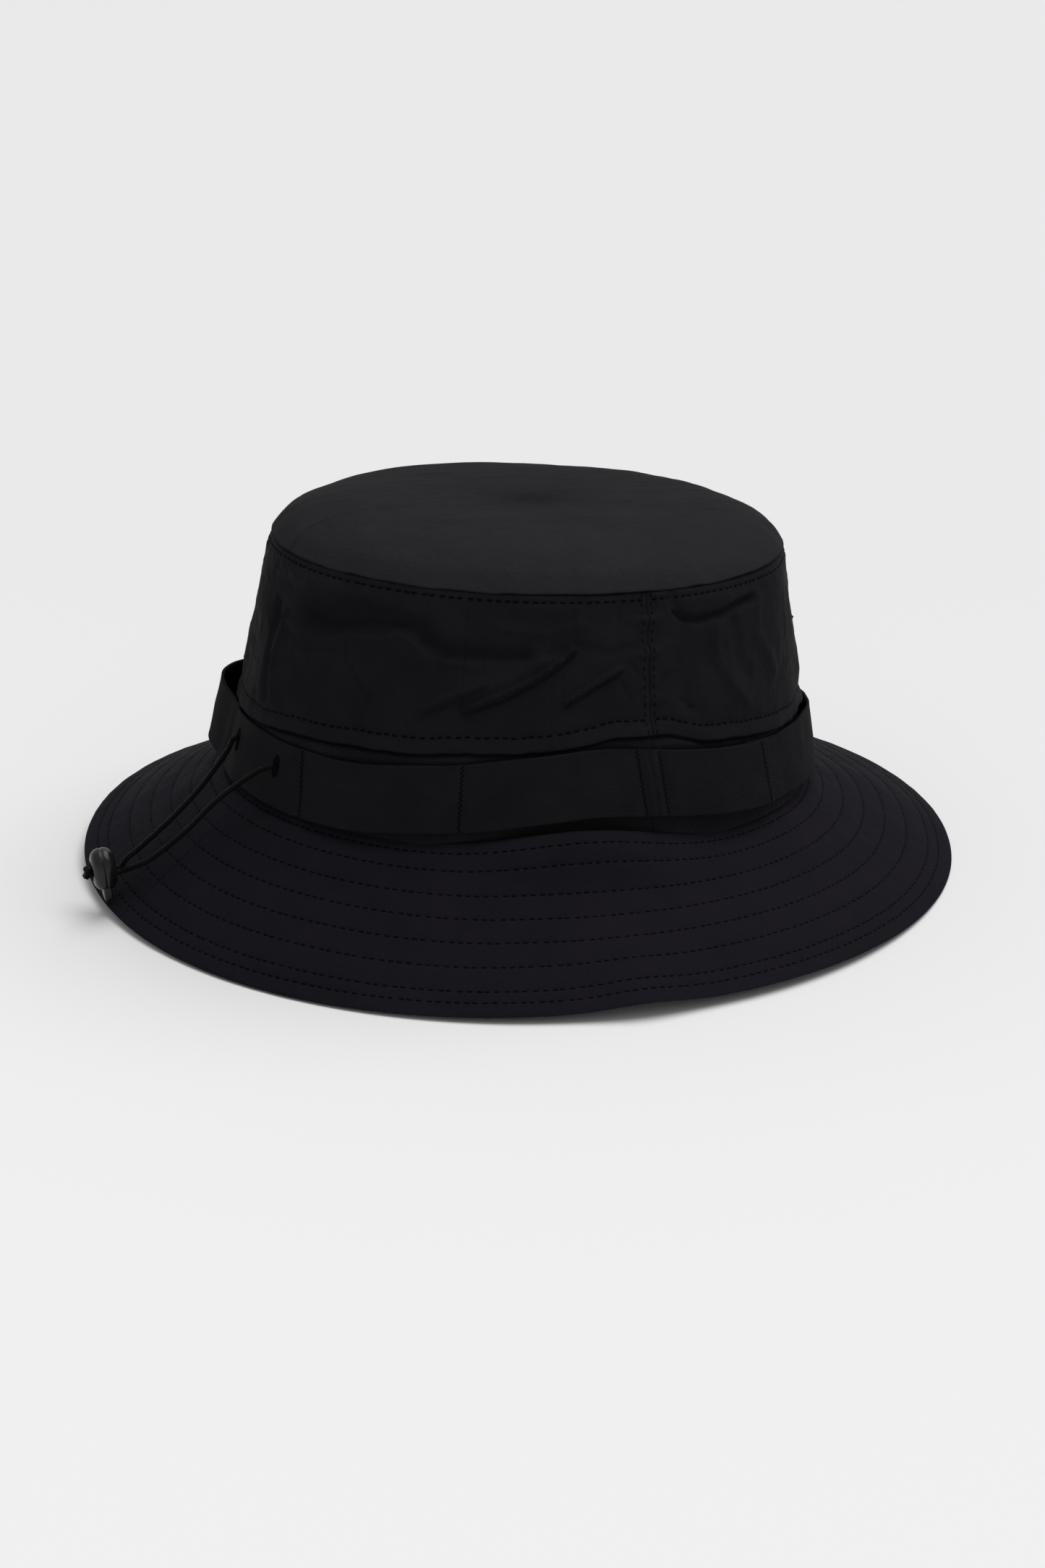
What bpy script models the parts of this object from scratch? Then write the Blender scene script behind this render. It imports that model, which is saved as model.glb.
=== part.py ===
"""Nylon bucket hat with a stitched brim, a webbing loop band, a drawcord and a cord lock.

Frame: metres, +Z up, +Y towards the wearer's front, +X towards the wearer's right.
The hat stands on its brim: z = 0 is the surface under it, and the origin lies under the
middle of the brim's outline. Places on the hat are given by "turn", in degrees from the
centre back towards the wearer's right, and by distances along the cloth.
"""
import math

import bmesh
import bpy
from mathutils import Matrix, Vector

# Crown: an oval cone frustum that leans, from the brim seam up to the tip seam.
SEAM_CENTRE = (0.0007, -0.0036)
SEAM_HALF = (0.0948, 0.1089)
SEAM_HEIGHT = 0.0326
CROWN_LEAN = (0.0190, -0.0641)
TIP_CENTRE = (-0.0048, 0.0020)
TIP_HALF = (0.0795, 0.0945)
TIP_RISE = 0.0881
TIP_DOME = 0.0115
TIP_FLAT = 0.35
SIDE_SEAM = 89.0

# Brim: constant width of cloth, with a rim that waves up and down.
BRIM_WIDTH = 0.0627
RIM_HEIGHT = 0.00295
RIM_WAVES = ((-0.00079, -0.00137), (0.00037, 0.00139), (0.00136, -0.00093))
BRIM_TUCK = 0.0025

# Cloth thicknesses and the gap that touching layers keep.
CLOTH = 0.0007
BRIM_CLOTH = 0.0004
GAP = 0.0003
WEBBING = 0.0012
TAPE = 0.0006

# Heights up the crown wall, measured along the cloth from the brim seam.
BASE_BOTTOM = 0.0009
BASE_TOP = 0.0460
TIP_TAPE = (0.0090, 0.0035)
SIDE_TAPE_GAP = 0.0010
SIDE_TAPE_TURN = 2.0
WALL_TOP_GAP = 0.0011
FLAP_HEIGHT = 0.0300
SWEATBAND_OUTLINE = (
    (0.0022, -0.0011),
    (0.0090, -0.0013),
    (0.0112, -0.0036),
    (0.0188, -0.0036),
    (0.0210, -0.0013),
    (0.0350, -0.0011),
)
SWEATBAND = 0.0008

# Webbing band: its middle line and the loops between its tacks.
BAND_HEIGHT = 0.0230
BAND_GAP = 0.0004
BAND_LINE = ((0.0, 0.0125), (16.6, 0.0125), (52.0, 0.0180), (87.0, 0.0215), (121.0, 0.0175), (180.0, 0.0155))
BACK_LOOPS = ((-89.0, -52.0, 0.0016), (-52.0, -16.6, 0.0085), (16.6, 52.0, 0.0012), (52.0, 89.0, 0.0018))
FRONT_LOOPS = ((121.0, 160.0, 0.0045), (160.0, 200.0, 0.0010), (200.0, 239.0, 0.0045))
BAND_END = 119.0
BAND_LAP = 6.0
LAP_RISE = 0.0015

# Drawcord, its slits and its two free strands.
CORD_RADIUS = 0.0010
CORD_LEVEL = 0.0150
CORD_DEPTH = -0.0023
SLIT_TURN = 9.4
SLIT_SIZE = (0.0046, 0.0072)
SLIT_DEPTH = (-0.0010, 0.0021)
ROUTE_LEFT = (
    (-0.0146, -0.1153, 0.0501),
    (-0.0126, -0.1256, 0.0403),
    (-0.0116, -0.1368, 0.0314),
    (-0.0114, -0.1486, 0.0230),
    (-0.0114, -0.1546, 0.0192),
)
ROUTE_RIGHT = (
    (0.0128, -0.1168, 0.0526),
    (0.0073, -0.1281, 0.0430),
    (0.0027, -0.1380, 0.0317),
    (-0.0028, -0.1486, 0.0214),
    (-0.0062, -0.1546, 0.0178),
)

# Cord lock: local X is its width, local Y points to the hat along the cords, local Z is up.
LOCK_CENTRE = (-0.0111, -0.1635, 0.0170)
LOCK_TURN = -12.0
LOCK_LEAN = 6.6
LOCK_HALF = (0.0065, 0.0076)
LOCK_DEPTH = 0.0073
LOCK_EDGE = 0.0016
LOCK_SLOT = (0.0052, 0.0050)
PLUNGER_SIZE = (0.0074, 0.0030)
PLUNGER_SPAN = (-0.0113, 0.0012)
PLUNGER_TRAVEL = 0.0024
BORE_TOP = 0.0040
POCKET = 0.0036
POCKET_TOP = 0.0060
CORD_DROP = PLUNGER_TRAVEL / 2
CORD_SPREAD = 0.00115
SPRING_RADIUS = 0.0012
SPRING_WIRE = 0.0002
SPRING_TURNS = 3.5
KNOT_RADIUS = 0.0021
KNOT_PROUD = 0.0003
STRAND_END = -0.0016

STEP = 6.0

BLACK_NYLON = ((0.010, 0.010, 0.012), 0.55)
BLACK_WEBBING = ((0.008, 0.008, 0.010), 0.60)
BLACK_CORD = ((0.009, 0.009, 0.010), 0.65)
BLACK_PLASTIC = ((0.020, 0.020, 0.021), 0.35)
FELT_GREY = ((0.060, 0.060, 0.062), 0.80)
SPRING_STEEL = ((0.550, 0.550, 0.560), 0.30)


def clear_scene():
    for obj in list(bpy.data.objects):
        bpy.data.objects.remove(obj, do_unlink=True)


def new_collection(name):
    collection = bpy.data.collections.new(name)
    bpy.context.scene.collection.children.link(collection)
    return collection


def make_material(name, look, metallic=0.0):
    colour, roughness = look
    material = bpy.data.materials.new(name)
    material.use_nodes = True
    shader = material.node_tree.nodes["Principled BSDF"]
    shader.inputs["Base Color"].default_value = (*colour, 1.0)
    shader.inputs["Roughness"].default_value = roughness
    shader.inputs["Metallic"].default_value = metallic
    return material


# ---- places on the hat

def angle_of(turn):
    return math.radians(turn - 90.0)


def lean_at(x, y):
    return CROWN_LEAN[0] * x + CROWN_LEAN[1] * y


def oval_point(centre, half, height, turn):
    angle = angle_of(turn)
    x = centre[0] + half[0] * math.cos(angle)
    y = centre[1] + half[1] * math.sin(angle)
    return Vector((x, y, height + lean_at(x, y)))


def seam_point(turn):
    return oval_point(SEAM_CENTRE, SEAM_HALF, SEAM_HEIGHT, turn)


def tip_edge(turn):
    return oval_point(TIP_CENTRE, TIP_HALF, SEAM_HEIGHT + TIP_RISE, turn)


def seam_tangent(turn):
    angle = angle_of(turn)
    return Vector((-SEAM_HALF[0] * math.sin(angle), SEAM_HALF[1] * math.cos(angle), 0.0)).normalized()


def wall_length(turn):
    return (tip_edge(turn) - seam_point(turn)).length


def wall_point(turn, height, out):
    """A point on the crown wall: height along the cloth, out along its outward normal."""
    foot = seam_point(turn)
    slope = (tip_edge(turn) - foot).normalized()
    normal = seam_tangent(turn).cross(slope).normalized()
    return foot + slope * height + normal * out


def rim_height(turn):
    angle = angle_of(turn)
    waves = (c * math.cos(k * angle) + s * math.sin(k * angle) for k, (c, s) in enumerate(RIM_WAVES, 1))
    return RIM_HEIGHT + sum(waves)


def brim_point(turn, along, up):
    """A point on the brim: along the slope from the seam, up along its normal."""
    seam = seam_point(turn)
    tangent = seam_tangent(turn)
    outward = tangent.cross(Vector((0.0, 0.0, 1.0)))
    drop = rim_height(turn) - seam.z
    slope = (outward * math.sqrt(BRIM_WIDTH ** 2 - drop ** 2) + Vector((0.0, 0.0, drop))) / BRIM_WIDTH
    normal = slope.cross(tangent).normalized()
    return seam + slope * along + normal * up


def tip_point(turn, reach):
    """A point on the domed tip: reach runs from 0 at its middle to 1 at its edge."""
    half = ((TIP_HALF[0] + CLOTH + GAP) * reach, (TIP_HALF[1] + CLOTH + GAP) * reach)
    axis = Vector((-CROWN_LEAN[0], -CROWN_LEAN[1], 1.0)).normalized()
    lift = TIP_DOME * (1.0 - max(reach, TIP_FLAT) ** 8)
    return oval_point(TIP_CENTRE, half, SEAM_HEIGHT + TIP_RISE, turn) + axis * lift


def bump(value, middle, width):
    return math.exp(-((value - middle) / width) ** 2)


def flap_height(turn):
    """Height of the upper wall's free lower edge, highest at the side seams."""
    side = abs((turn + 180.0) % 360.0 - 180.0)
    return FLAP_HEIGHT + 0.0035 * bump(side, 65, 25) + 0.0065 * bump(side, 87, 9) - 0.0025 * bump(side, 0, 18)


def smooth_step(value):
    value = min(max(value, 0.0), 1.0)
    return value * value * (3.0 - 2.0 * value)


def band_line(turn):
    """Height of the webbing's middle line up the wall."""
    side = abs((turn + 180.0) % 360.0 - 180.0)
    for (t0, h0), (t1, h1) in zip(BAND_LINE, BAND_LINE[1:]):
        if side <= t1:
            return h0 + (h1 - h0) * smooth_step((side - t0) / (t1 - t0))
    return BAND_LINE[-1][1]


def loop_rise(turn, loops):
    for start, end, rise in loops:
        if start < turn < end:
            return rise * math.sin(math.pi * (turn - start) / (end - start)) ** 2
    return 0.0


def back_band_out(turn):
    lap = LAP_RISE * smooth_step((abs(turn) - SIDE_SEAM) / 16.0)
    return BAND_GAP + WEBBING + loop_rise(turn, BACK_LOOPS) + lap


def front_band_out(turn):
    return BAND_GAP + WEBBING + loop_rise(turn, FRONT_LOOPS)


def turns_between(start, end, step=STEP):
    """The turns from start to end: both ends, and each whole step between them."""
    inner = [k * step for k in range(math.ceil(start / step), math.floor(end / step) + 1)]
    inner = [turn for turn in inner if start + 0.2 * step < turn < end - 0.2 * step]
    return [start, *inner, end]


# ---- shapes

def link(obj, collection, material=None):
    collection.objects.link(obj)
    if material:
        obj.data.materials.append(material)
    return obj


def shade(mesh, angle=35.0):
    mesh.shade_smooth()
    mesh.set_sharp_from_angle(angle=math.radians(angle))


def add_sheet(name, rows, thickness, closed, collection, material, cap=False):
    """Cloth: an open grid of rows of points, given its thickness inwards by Solidify."""
    count = len(rows[0])
    points = [point for row in rows for point in row]
    faces = []
    for low in range(len(rows) - 1):
        for i in range(count if closed else count - 1):
            j = (i + 1) % count
            faces.append((low * count + i, low * count + j, (low + 1) * count + j, (low + 1) * count + i))
    if cap:
        faces.append(tuple(range((len(rows) - 1) * count, len(rows) * count)))
    mesh = bpy.data.meshes.new(name)
    mesh.from_pydata(points, [], faces)
    shade(mesh)
    obj = link(bpy.data.objects.new(name, mesh), collection, material)
    solid = obj.modifiers.new("Thickness", "SOLIDIFY")
    solid.thickness = thickness
    solid.offset = -1.0
    solid.use_even_offset = True
    return obj


def add_wall_panel(name, start, end, bottom, top, out, collection, material):
    turns = turns_between(start, end)
    rows = [
        [wall_point(turn, bottom(turn) + (top(turn) - bottom(turn)) * share, out) for turn in turns]
        for share in (0.0, 0.5, 1.0)
    ]
    return add_sheet(name, rows, CLOTH, False, collection, material)


def add_wall_ring(name, outline, thickness, collection, material):
    turns = [k * STEP for k in range(round(360.0 / STEP))]
    rows = [[wall_point(turn, height(turn), out) for turn in turns] for height, out in outline]
    return add_sheet(name, rows, thickness, True, collection, material)


def add_brim_ring(name, outline, thickness, collection, material):
    turns = [k * STEP for k in range(round(360.0 / STEP))]
    rows = [[brim_point(turn, along, up) for turn in turns] for along, up in outline]
    return add_sheet(name, rows, thickness, True, collection, material)


def add_band(name, start, end, out, collection, material):
    turns = turns_between(start, end, 4.0)
    rows = [
        [wall_point(turn, band_line(turn) + share * BAND_HEIGHT, out(turn)) for turn in turns]
        for share in (-0.5, 0.5)
    ]
    return add_sheet(name, rows, WEBBING, False, collection, material)


def add_box(name, size, middle, collection, frame, material=None):
    """A box in a local frame, with its scale already in its mesh."""
    mesh = bpy.data.meshes.new(name)
    shape = bmesh.new()
    bmesh.ops.create_cube(shape, size=1.0, matrix=Matrix.LocRotScale(Vector(middle), None, Vector(size)))
    shape.to_mesh(mesh)
    shape.free()
    obj = link(bpy.data.objects.new(name, mesh), collection, material)
    obj.matrix_world = frame
    return obj


def cut(obj, cutter):
    cutter.hide_render = True
    cutter.display_type = "WIRE"
    boolean = obj.modifiers.new("Cut " + cutter.name, "BOOLEAN")
    boolean.operation = "DIFFERENCE"
    boolean.object = cutter


def smooth_route(points, spacing):
    """Points a spacing apart on the Catmull-Rom curve through the given points."""
    guide = [2 * points[0] - points[1], *points, 2 * points[-1] - points[-2]]
    fine = []
    for a, b, c, d in zip(guide, guide[1:], guide[2:], guide[3:]):
        for k in range(24):
            t = k / 24
            fine.append(0.5 * (2 * b + (c - a) * t + (2 * a - 5 * b + 4 * c - d) * t ** 2
                               + (3 * b - a - 3 * c + d) * t ** 3))
    fine.append(points[-1])
    length = sum((q - p).length for p, q in zip(fine, fine[1:]))
    gap = length / max(round(length / spacing), 1)
    route = [fine[0]]
    walked = 0.0
    for p, q in zip(fine, fine[1:]):
        walked += (q - p).length
        if walked >= gap * len(route) - 1e-9 and len(route) < round(length / gap):
            route.append(q)
    return [*route, points[-1]]


def add_tube(name, points, radius, collection, material):
    curve = bpy.data.curves.new(name, "CURVE")
    curve.dimensions = "3D"
    curve.bevel_depth = radius
    curve.bevel_resolution = 2
    curve.use_fill_caps = True
    spline = curve.splines.new("POLY")
    spline.points.add(len(points) - 1)
    for place, point in zip(spline.points, points):
        place.co = (*point, 1.0)
    return link(bpy.data.objects.new(name, curve), collection, material)


# ---- the hat's parts

def build_crown(parts, nylon):
    axis_gap = math.degrees(GAP / 2 / SEAM_HALF[0])
    front = (SIDE_SEAM + axis_gap, 360.0 - SIDE_SEAM - axis_gap)
    back = (-SIDE_SEAM + axis_gap, SIDE_SEAM - axis_gap)
    bases = []
    for side, (start, end) in (("front", front), ("back", back)):
        add_wall_panel("crown_wall_" + side, start, end, flap_height,
                       lambda turn: wall_length(turn) - WALL_TOP_GAP, CLOTH + GAP, parts, nylon)
        bases.append(add_wall_panel("crown_base_" + side, start, end, lambda turn: BASE_BOTTOM,
                                    lambda turn: BASE_TOP, 0.0, parts, nylon))
    turns = [k * STEP for k in range(round(360.0 / STEP))]
    reaches = (1.0, 0.965, 0.91, 0.82, 0.65, TIP_FLAT)
    add_sheet("crown_tip", [[tip_point(turn, reach) for turn in turns] for reach in reaches],
              CLOTH, True, parts, nylon, cap=True)
    return bases[1]


def build_inside(parts, tape, band):
    """The tapes over the crown's inner seams, and the sweatband with its cord tunnel."""
    low, high = TIP_TAPE
    outline = ((lambda turn: wall_length(turn) - low, 0.0), (lambda turn: wall_length(turn) - high, 0.0))
    add_wall_ring("tip_seam_tape", outline, TAPE, parts, tape)
    for side, turn in (("right", SIDE_SEAM), ("left", -SIDE_SEAM)):
        turns = (turn - SIDE_TAPE_TURN, turn, turn + SIDE_TAPE_TURN)
        rows = [
            [wall_point(t, BASE_TOP + SIDE_TAPE_GAP, 0.0) for t in turns],
            [wall_point(t, wall_length(t) - low - SIDE_TAPE_GAP, 0.0) for t in turns],
        ]
        add_sheet("side_seam_tape_" + side, rows, TAPE, False, parts, tape)
    outline = [(lambda turn, height=height: height, out) for height, out in SWEATBAND_OUTLINE]
    add_wall_ring("sweatband", outline, SWEATBAND, parts, band)


def build_brim(parts, nylon, felt):
    """Two cloths with a stiffening layer between them; the two cloths come together at the rim."""
    inner = -BRIM_TUCK
    under = -(2 * BRIM_CLOTH + 2 * GAP)
    add_brim_ring("brim_top", ((BRIM_WIDTH, 0.0), (BRIM_WIDTH / 2, 0.0), (inner, 0.0)),
                  BRIM_CLOTH, parts, nylon)
    add_brim_ring("brim_interlining",
                  ((BRIM_WIDTH - 0.0045, -BRIM_CLOTH - GAP), (inner, -BRIM_CLOTH - GAP)),
                  BRIM_CLOTH, parts, felt)
    add_brim_ring("brim_under",
                  ((BRIM_WIDTH, -BRIM_CLOTH - GAP), (BRIM_WIDTH - 0.0012, -BRIM_CLOTH - GAP),
                   (BRIM_WIDTH - 0.0040, under), (inner, under)),
                  BRIM_CLOTH, parts, nylon)


def build_band(parts, webbing):
    back = add_band("hatband_back", -BAND_END, BAND_END, back_band_out, parts, webbing)
    start = BAND_END - BAND_LAP
    add_band("hatband_front", start, 360.0 - start, front_band_out, parts, webbing)
    return back


def slit_frame(turn):
    """Frame at a cord slit: X along the band, Y up the wall, Z outwards."""
    middle = wall_point(turn, CORD_LEVEL, 0.0)
    along = seam_tangent(turn)
    up = (wall_point(turn, CORD_LEVEL + 0.01, 0.0) - middle).normalized()
    return Matrix.Translation(middle) @ Matrix((along, up, along.cross(up))).transposed().to_4x4()


def build_slits(cutters, pieces):
    depth = SLIT_DEPTH[1] - SLIT_DEPTH[0]
    middle = (0.0, 0.0, sum(SLIT_DEPTH) / 2)
    for side, turn in (("left", -SLIT_TURN), ("right", SLIT_TURN)):
        cutter = add_box("slit_cutter_" + side, (*SLIT_SIZE, depth), middle, cutters, slit_frame(turn))
        for piece in pieces:
            cut(piece, cutter)


def lock_matrix():
    turn = math.radians(LOCK_TURN)
    spin = Matrix.Rotation(turn, 4, "Z")
    lean = Matrix.Rotation(math.radians(LOCK_LEAN), 4, "X")
    return Matrix.Translation(LOCK_CENTRE) @ spin @ lean


def build_drawcord(parts, cord):
    """The cord's hidden length in its tunnel, and its two free strands down to the lock."""
    bend = ((6.0, CORD_DEPTH), (3.0, CORD_DEPTH), (1.0, -0.0019), (0.0, -0.0008), (0.0, 0.0018))
    first = smooth_route([wall_point(SLIT_TURN + turn, CORD_LEVEL, out) for turn, out in bend], 0.0015)
    last = smooth_route([wall_point(-SLIT_TURN - turn, CORD_LEVEL, out) for turn, out in bend], 0.0015)
    ring = [wall_point(turn, CORD_LEVEL, CORD_DEPTH) for turn in turns_between(20.0, 340.0)]
    add_tube("drawcord_inner", [*reversed(first), *ring, *last], CORD_RADIUS, parts, cord)
    frame = lock_matrix()
    for side, sign, route in (("left", -1, ROUTE_LEFT), ("right", 1, ROUTE_RIGHT)):
        start, leaving = (wall_point(sign * SLIT_TURN, CORD_LEVEL, out) for out in (0.0022, 0.0038))
        mouth = (LOCK_DEPTH / 2 + 0.0020, 0.0, STRAND_END)
        inside = [frame @ Vector((sign * CORD_SPREAD, y, -CORD_DROP)) for y in mouth]
        points = [leaving, *(Vector(point) for point in route), *inside]
        add_tube("drawcord_strand_" + side, [start, *smooth_route(points, 0.0050)], CORD_RADIUS, parts, cord)


def build_lock(parts, cutters, plastic, cord, steel):
    frame = lock_matrix()
    holder = bpy.data.objects.new("cord_lock_frame", None)
    parts.objects.link(holder)
    holder.matrix_world = frame

    mesh = bpy.data.meshes.new("cord_lock_housing")
    shape = bmesh.new()
    turned = Matrix.Rotation(math.pi / 2, 4, "X")
    oval = Matrix.Diagonal((LOCK_HALF[0], 1.0, LOCK_HALF[1], 1.0))
    bmesh.ops.create_cone(shape, cap_ends=True, segments=32, radius1=1.0, radius2=1.0,
                          depth=LOCK_DEPTH, matrix=oval @ turned)
    shape.to_mesh(mesh)
    shape.free()
    housing = link(bpy.data.objects.new("cord_lock_housing", mesh), parts, plastic)
    housing.matrix_world = frame
    edge = housing.modifiers.new("Edge", "BEVEL")
    edge.width = LOCK_EDGE
    edge.segments = 3
    edge.limit_method = "ANGLE"
    shade(mesh, 50.0)

    bottom = -LOCK_HALF[1] - 0.0010
    bore_size = (PLUNGER_SIZE[0] + 2 * GAP, PLUNGER_SIZE[1] + 2 * GAP, BORE_TOP - bottom)
    pocket_size = (POCKET, POCKET, POCKET_TOP - BORE_TOP + 0.0010)
    slot_size = (LOCK_SLOT[0], 2 * LOCK_DEPTH, LOCK_SLOT[1])
    cut(housing, add_box("bore_cutter", bore_size, (0, 0, (BORE_TOP + bottom) / 2), cutters, frame))
    cut(housing, add_box("pocket_cutter", pocket_size,
                         (0, 0, POCKET_TOP - pocket_size[2] / 2), cutters, frame))
    cut(housing, add_box("slot_cutter", slot_size, (0, 0, 0), cutters, frame))

    low, high = PLUNGER_SPAN
    plunger = add_box("cord_lock_plunger", (*PLUNGER_SIZE, high - low), (0, 0, (low + high) / 2),
                      parts, frame, plastic)
    rounding = plunger.modifiers.new("Edge", "BEVEL")
    rounding.width = 0.0005
    rounding.segments = 2
    cut(plunger, add_box("plunger_slot_cutter", slot_size, (0, 0, -PLUNGER_TRAVEL), cutters, frame))

    bottom = high + GAP + SPRING_WIRE
    rise = POCKET_TOP - GAP - SPRING_WIRE - bottom
    coil = []
    steps = round(SPRING_TURNS * 12)
    for k in range(steps + 1):
        angle = 2 * math.pi * k / 12
        place = Vector((SPRING_RADIUS * math.cos(angle), SPRING_RADIUS * math.sin(angle), bottom + rise * k / steps))
        coil.append(frame @ place)
    add_tube("cord_lock_spring", coil, SPRING_WIRE, parts, steel)

    mesh = bpy.data.meshes.new("drawcord_knot")
    shape = bmesh.new()
    bmesh.ops.create_uvsphere(shape, u_segments=14, v_segments=8, radius=KNOT_RADIUS)
    shape.to_mesh(mesh)
    shape.free()
    shade(mesh)
    knot = link(bpy.data.objects.new("drawcord_knot", mesh), parts, cord)
    knot.matrix_world = frame @ Matrix.Translation((0.0, -LOCK_DEPTH / 2 - KNOT_PROUD, 0.0))

    bpy.context.view_layer.update()
    for piece in (housing, plunger, knot):
        world = piece.matrix_world.copy()
        piece.parent = holder
        piece.matrix_world = world


def main():
    clear_scene()
    parts = new_collection("bucket_hat")
    cutters = new_collection("cutters")
    nylon = make_material("black_nylon", BLACK_NYLON)
    webbing = make_material("black_webbing", BLACK_WEBBING)
    tape = make_material("seam_tape", BLACK_WEBBING)
    sweatband = make_material("sweatband_cloth", BLACK_NYLON)
    felt = make_material("interlining_felt", FELT_GREY)
    cord = make_material("black_cord", BLACK_CORD)
    plastic = make_material("black_plastic", BLACK_PLASTIC)
    steel = make_material("spring_steel", SPRING_STEEL, metallic=1.0)
    base_back = build_crown(parts, nylon)
    build_inside(parts, tape, sweatband)
    build_brim(parts, nylon, felt)
    band_back = build_band(parts, webbing)
    build_slits(cutters, (base_back, band_back))
    build_drawcord(parts, cord)
    build_lock(parts, cutters, plastic, cord, steel)


main()
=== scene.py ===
"""Looks of the nylon bucket hat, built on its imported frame.

Frame: metres, +Z up, +Y towards the wearer's front, +X towards the wearer's right.
Places are given by "turn", in degrees from the centre back towards the wearer's right,
and by distances along the cloth, as in the CAD model.
"""
import math

import bmesh
import bpy
import numpy as np
from mathutils import Matrix, Vector


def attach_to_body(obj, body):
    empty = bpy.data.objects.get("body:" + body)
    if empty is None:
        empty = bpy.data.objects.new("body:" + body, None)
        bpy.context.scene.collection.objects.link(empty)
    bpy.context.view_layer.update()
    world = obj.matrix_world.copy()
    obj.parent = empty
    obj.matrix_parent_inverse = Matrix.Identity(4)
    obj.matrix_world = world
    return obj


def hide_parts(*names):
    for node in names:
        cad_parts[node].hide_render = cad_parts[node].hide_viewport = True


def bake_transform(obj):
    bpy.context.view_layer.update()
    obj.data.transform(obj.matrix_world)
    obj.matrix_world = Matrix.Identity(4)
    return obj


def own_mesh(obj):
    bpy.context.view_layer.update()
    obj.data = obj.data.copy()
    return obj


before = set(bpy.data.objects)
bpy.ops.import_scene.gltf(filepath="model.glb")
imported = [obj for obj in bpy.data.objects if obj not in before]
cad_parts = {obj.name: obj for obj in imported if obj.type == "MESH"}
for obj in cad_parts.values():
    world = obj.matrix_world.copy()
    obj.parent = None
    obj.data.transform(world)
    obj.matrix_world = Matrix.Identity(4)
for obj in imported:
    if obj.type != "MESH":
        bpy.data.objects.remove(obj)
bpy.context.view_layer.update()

MM = 0.001

# Camera and light.
CAMERA_PLACE = (0.82578, -0.48351, 0.40325)
CAMERA_AZIMUTH = 59.762
CAMERA_ELEVATION = 21.659
CAMERA_ROLL = 1.254
CAMERA_LENS = 63.683
SENSOR = 36.0
SUN_TOWARDS = (-0.03, 0.42, 1.0)
SUN_STRENGTH = 2.14
SUN_ANGLE = 60.0
SKY_STRENGTH = 0.475
SKY_COLOUR = (1.0, 1.0, 1.0, 1.0)
BACKDROP_STRENGTH = 0.87
FLOOR_HALF = 30.0
# The floor's colour goes from FLOOR_NEAR to FLOOR_FAR away from the camera: painted light falloff on an
# evenly coloured paper.
FLOOR_NEAR = (0.796, 0.796, 0.796)
FLOOR_FAR = (0.750, 0.750, 0.750)
FLOOR_LIGHT_FALLOFF = (-0.22, 0.35)
WORN_CELL = 0.018
SHEEN_ROUGHNESS = 0.45

# Crown and brim, as in the CAD model.
SEAM_CENTRE = (0.0007, -0.0036)
SEAM_HALF = (0.0948, 0.1089)
SEAM_HEIGHT = 0.0326
CROWN_LEAN = (0.0190, -0.0641)
TIP_CENTRE = (-0.0048, 0.0020)
TIP_HALF = (0.0795, 0.0945)
TIP_RISE = 0.0881
TIP_DOME = 0.0115
TIP_ROLL = 0.0022
TIP_SHOULDER = 0.0055
TIP_ALLOWANCE = 0.009
# The wall's cloth stands at least this far out over a tape.
TAPED_OUT = 0.0004
# The back panel's ends tuck under the front one: turn, width in degrees and depth.
UNDERLAP = (88.7, 0.4, 0.0002)
SIDE_SEAM = 89.0
BRIM_WIDTH = 0.0627
RIM_HEIGHT = 0.00295
RIM_WAVES = ((-0.00079, -0.00137), (0.00037, 0.00139), (0.00136, -0.00093))
BRIM_TUCK = 0.0025

# Swellings of the brim: turn, width in degrees and rise.
SIDE_HUMP = (75.0, 18.0, 0.0098)
SIDE_HUMP_REACH = 0.013
RIM_SWELL = (77.0, 6.0, 0.0027)

# Girth half way up the crown and at the seam of the brim.
GIRTH = 0.600
SEAM_GIRTH = 0.641

# Thicknesses and gap of the CAD model.
CLOTH = 0.0007
BRIM_CLOTH = 0.0004
GAP = 0.0003
WEBBING = 0.0012
# Each kind of cloth here: the ending of its pieces' names, its slot and its thickness.
CLOTH_KINDS = {
    "nylon": ("cloth", "black_nylon", 0.0006),
    "tip": ("cloth", "black_nylon", 0.0006),
    "brim": ("cloth", "black_nylon", 0.0003),
    "webbing": ("webbing", "black_webbing", 0.0011),
    "tape": ("twill", "seam_tape", 0.0006),
    "sweatband": ("knit", "sweatband_cloth", 0.0008),
    "felt": ("felt", "interlining_felt", 0.00015),
}
FELT_DEPTH = 0.00112
# The brim cloth's folded edge: distances in from the rim and up.
RIM_FOLD = ((0.0007, -0.00075), (0.0002, -0.0006), (0.0, -0.0003))
# The tapes' extent: heights from the tip's seam, half a width in degrees, and insets at foot and top.
TIP_TAPE_ROWS = (-0.0090, -0.0035)
SIDE_TAPE_TURN = 2.0
SIDE_TAPE_INSET = (0.0012, 0.0100)

# Heights up the wall, in millimetres, against the turn.
FLAP_LINE = (
    (-15, 24.6), (0, 26.0), (13, 28.1), (28.5, 30.2), (52, 32.8), (63, 33.6), (70.6, 35.3), (76.7, 37.6),
    (82.0, 40.2), (86.0, 38.9), (91, 39.4), (95, 37.6), (99, 35.3), (104, 33.2), (116, 32.0), (132, 29.6),
    (160, 29.0), (200, 29.4), (228, 30.0), (244, 32.0), (256, 33.4), (266, 38.6), (272, 39.6), (278, 36.6),
    (290, 33.8), (310, 31.0), (330, 27.2), (345, 24.6),
)
BAND_LINE = (
    (-90, 21.8), (-52, 17.6), (-17, 12.2), (0, 12.6), (17, 12.2), (32, 13.2), (52, 17.8), (65, 21.6),
    (77, 24.0), (84, 23.6), (91, 21.9), (104, 19.4), (121, 17.0), (180, 15.5), (239, 17.2), (270, 21.8),
    (308, 17.6),
)
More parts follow.
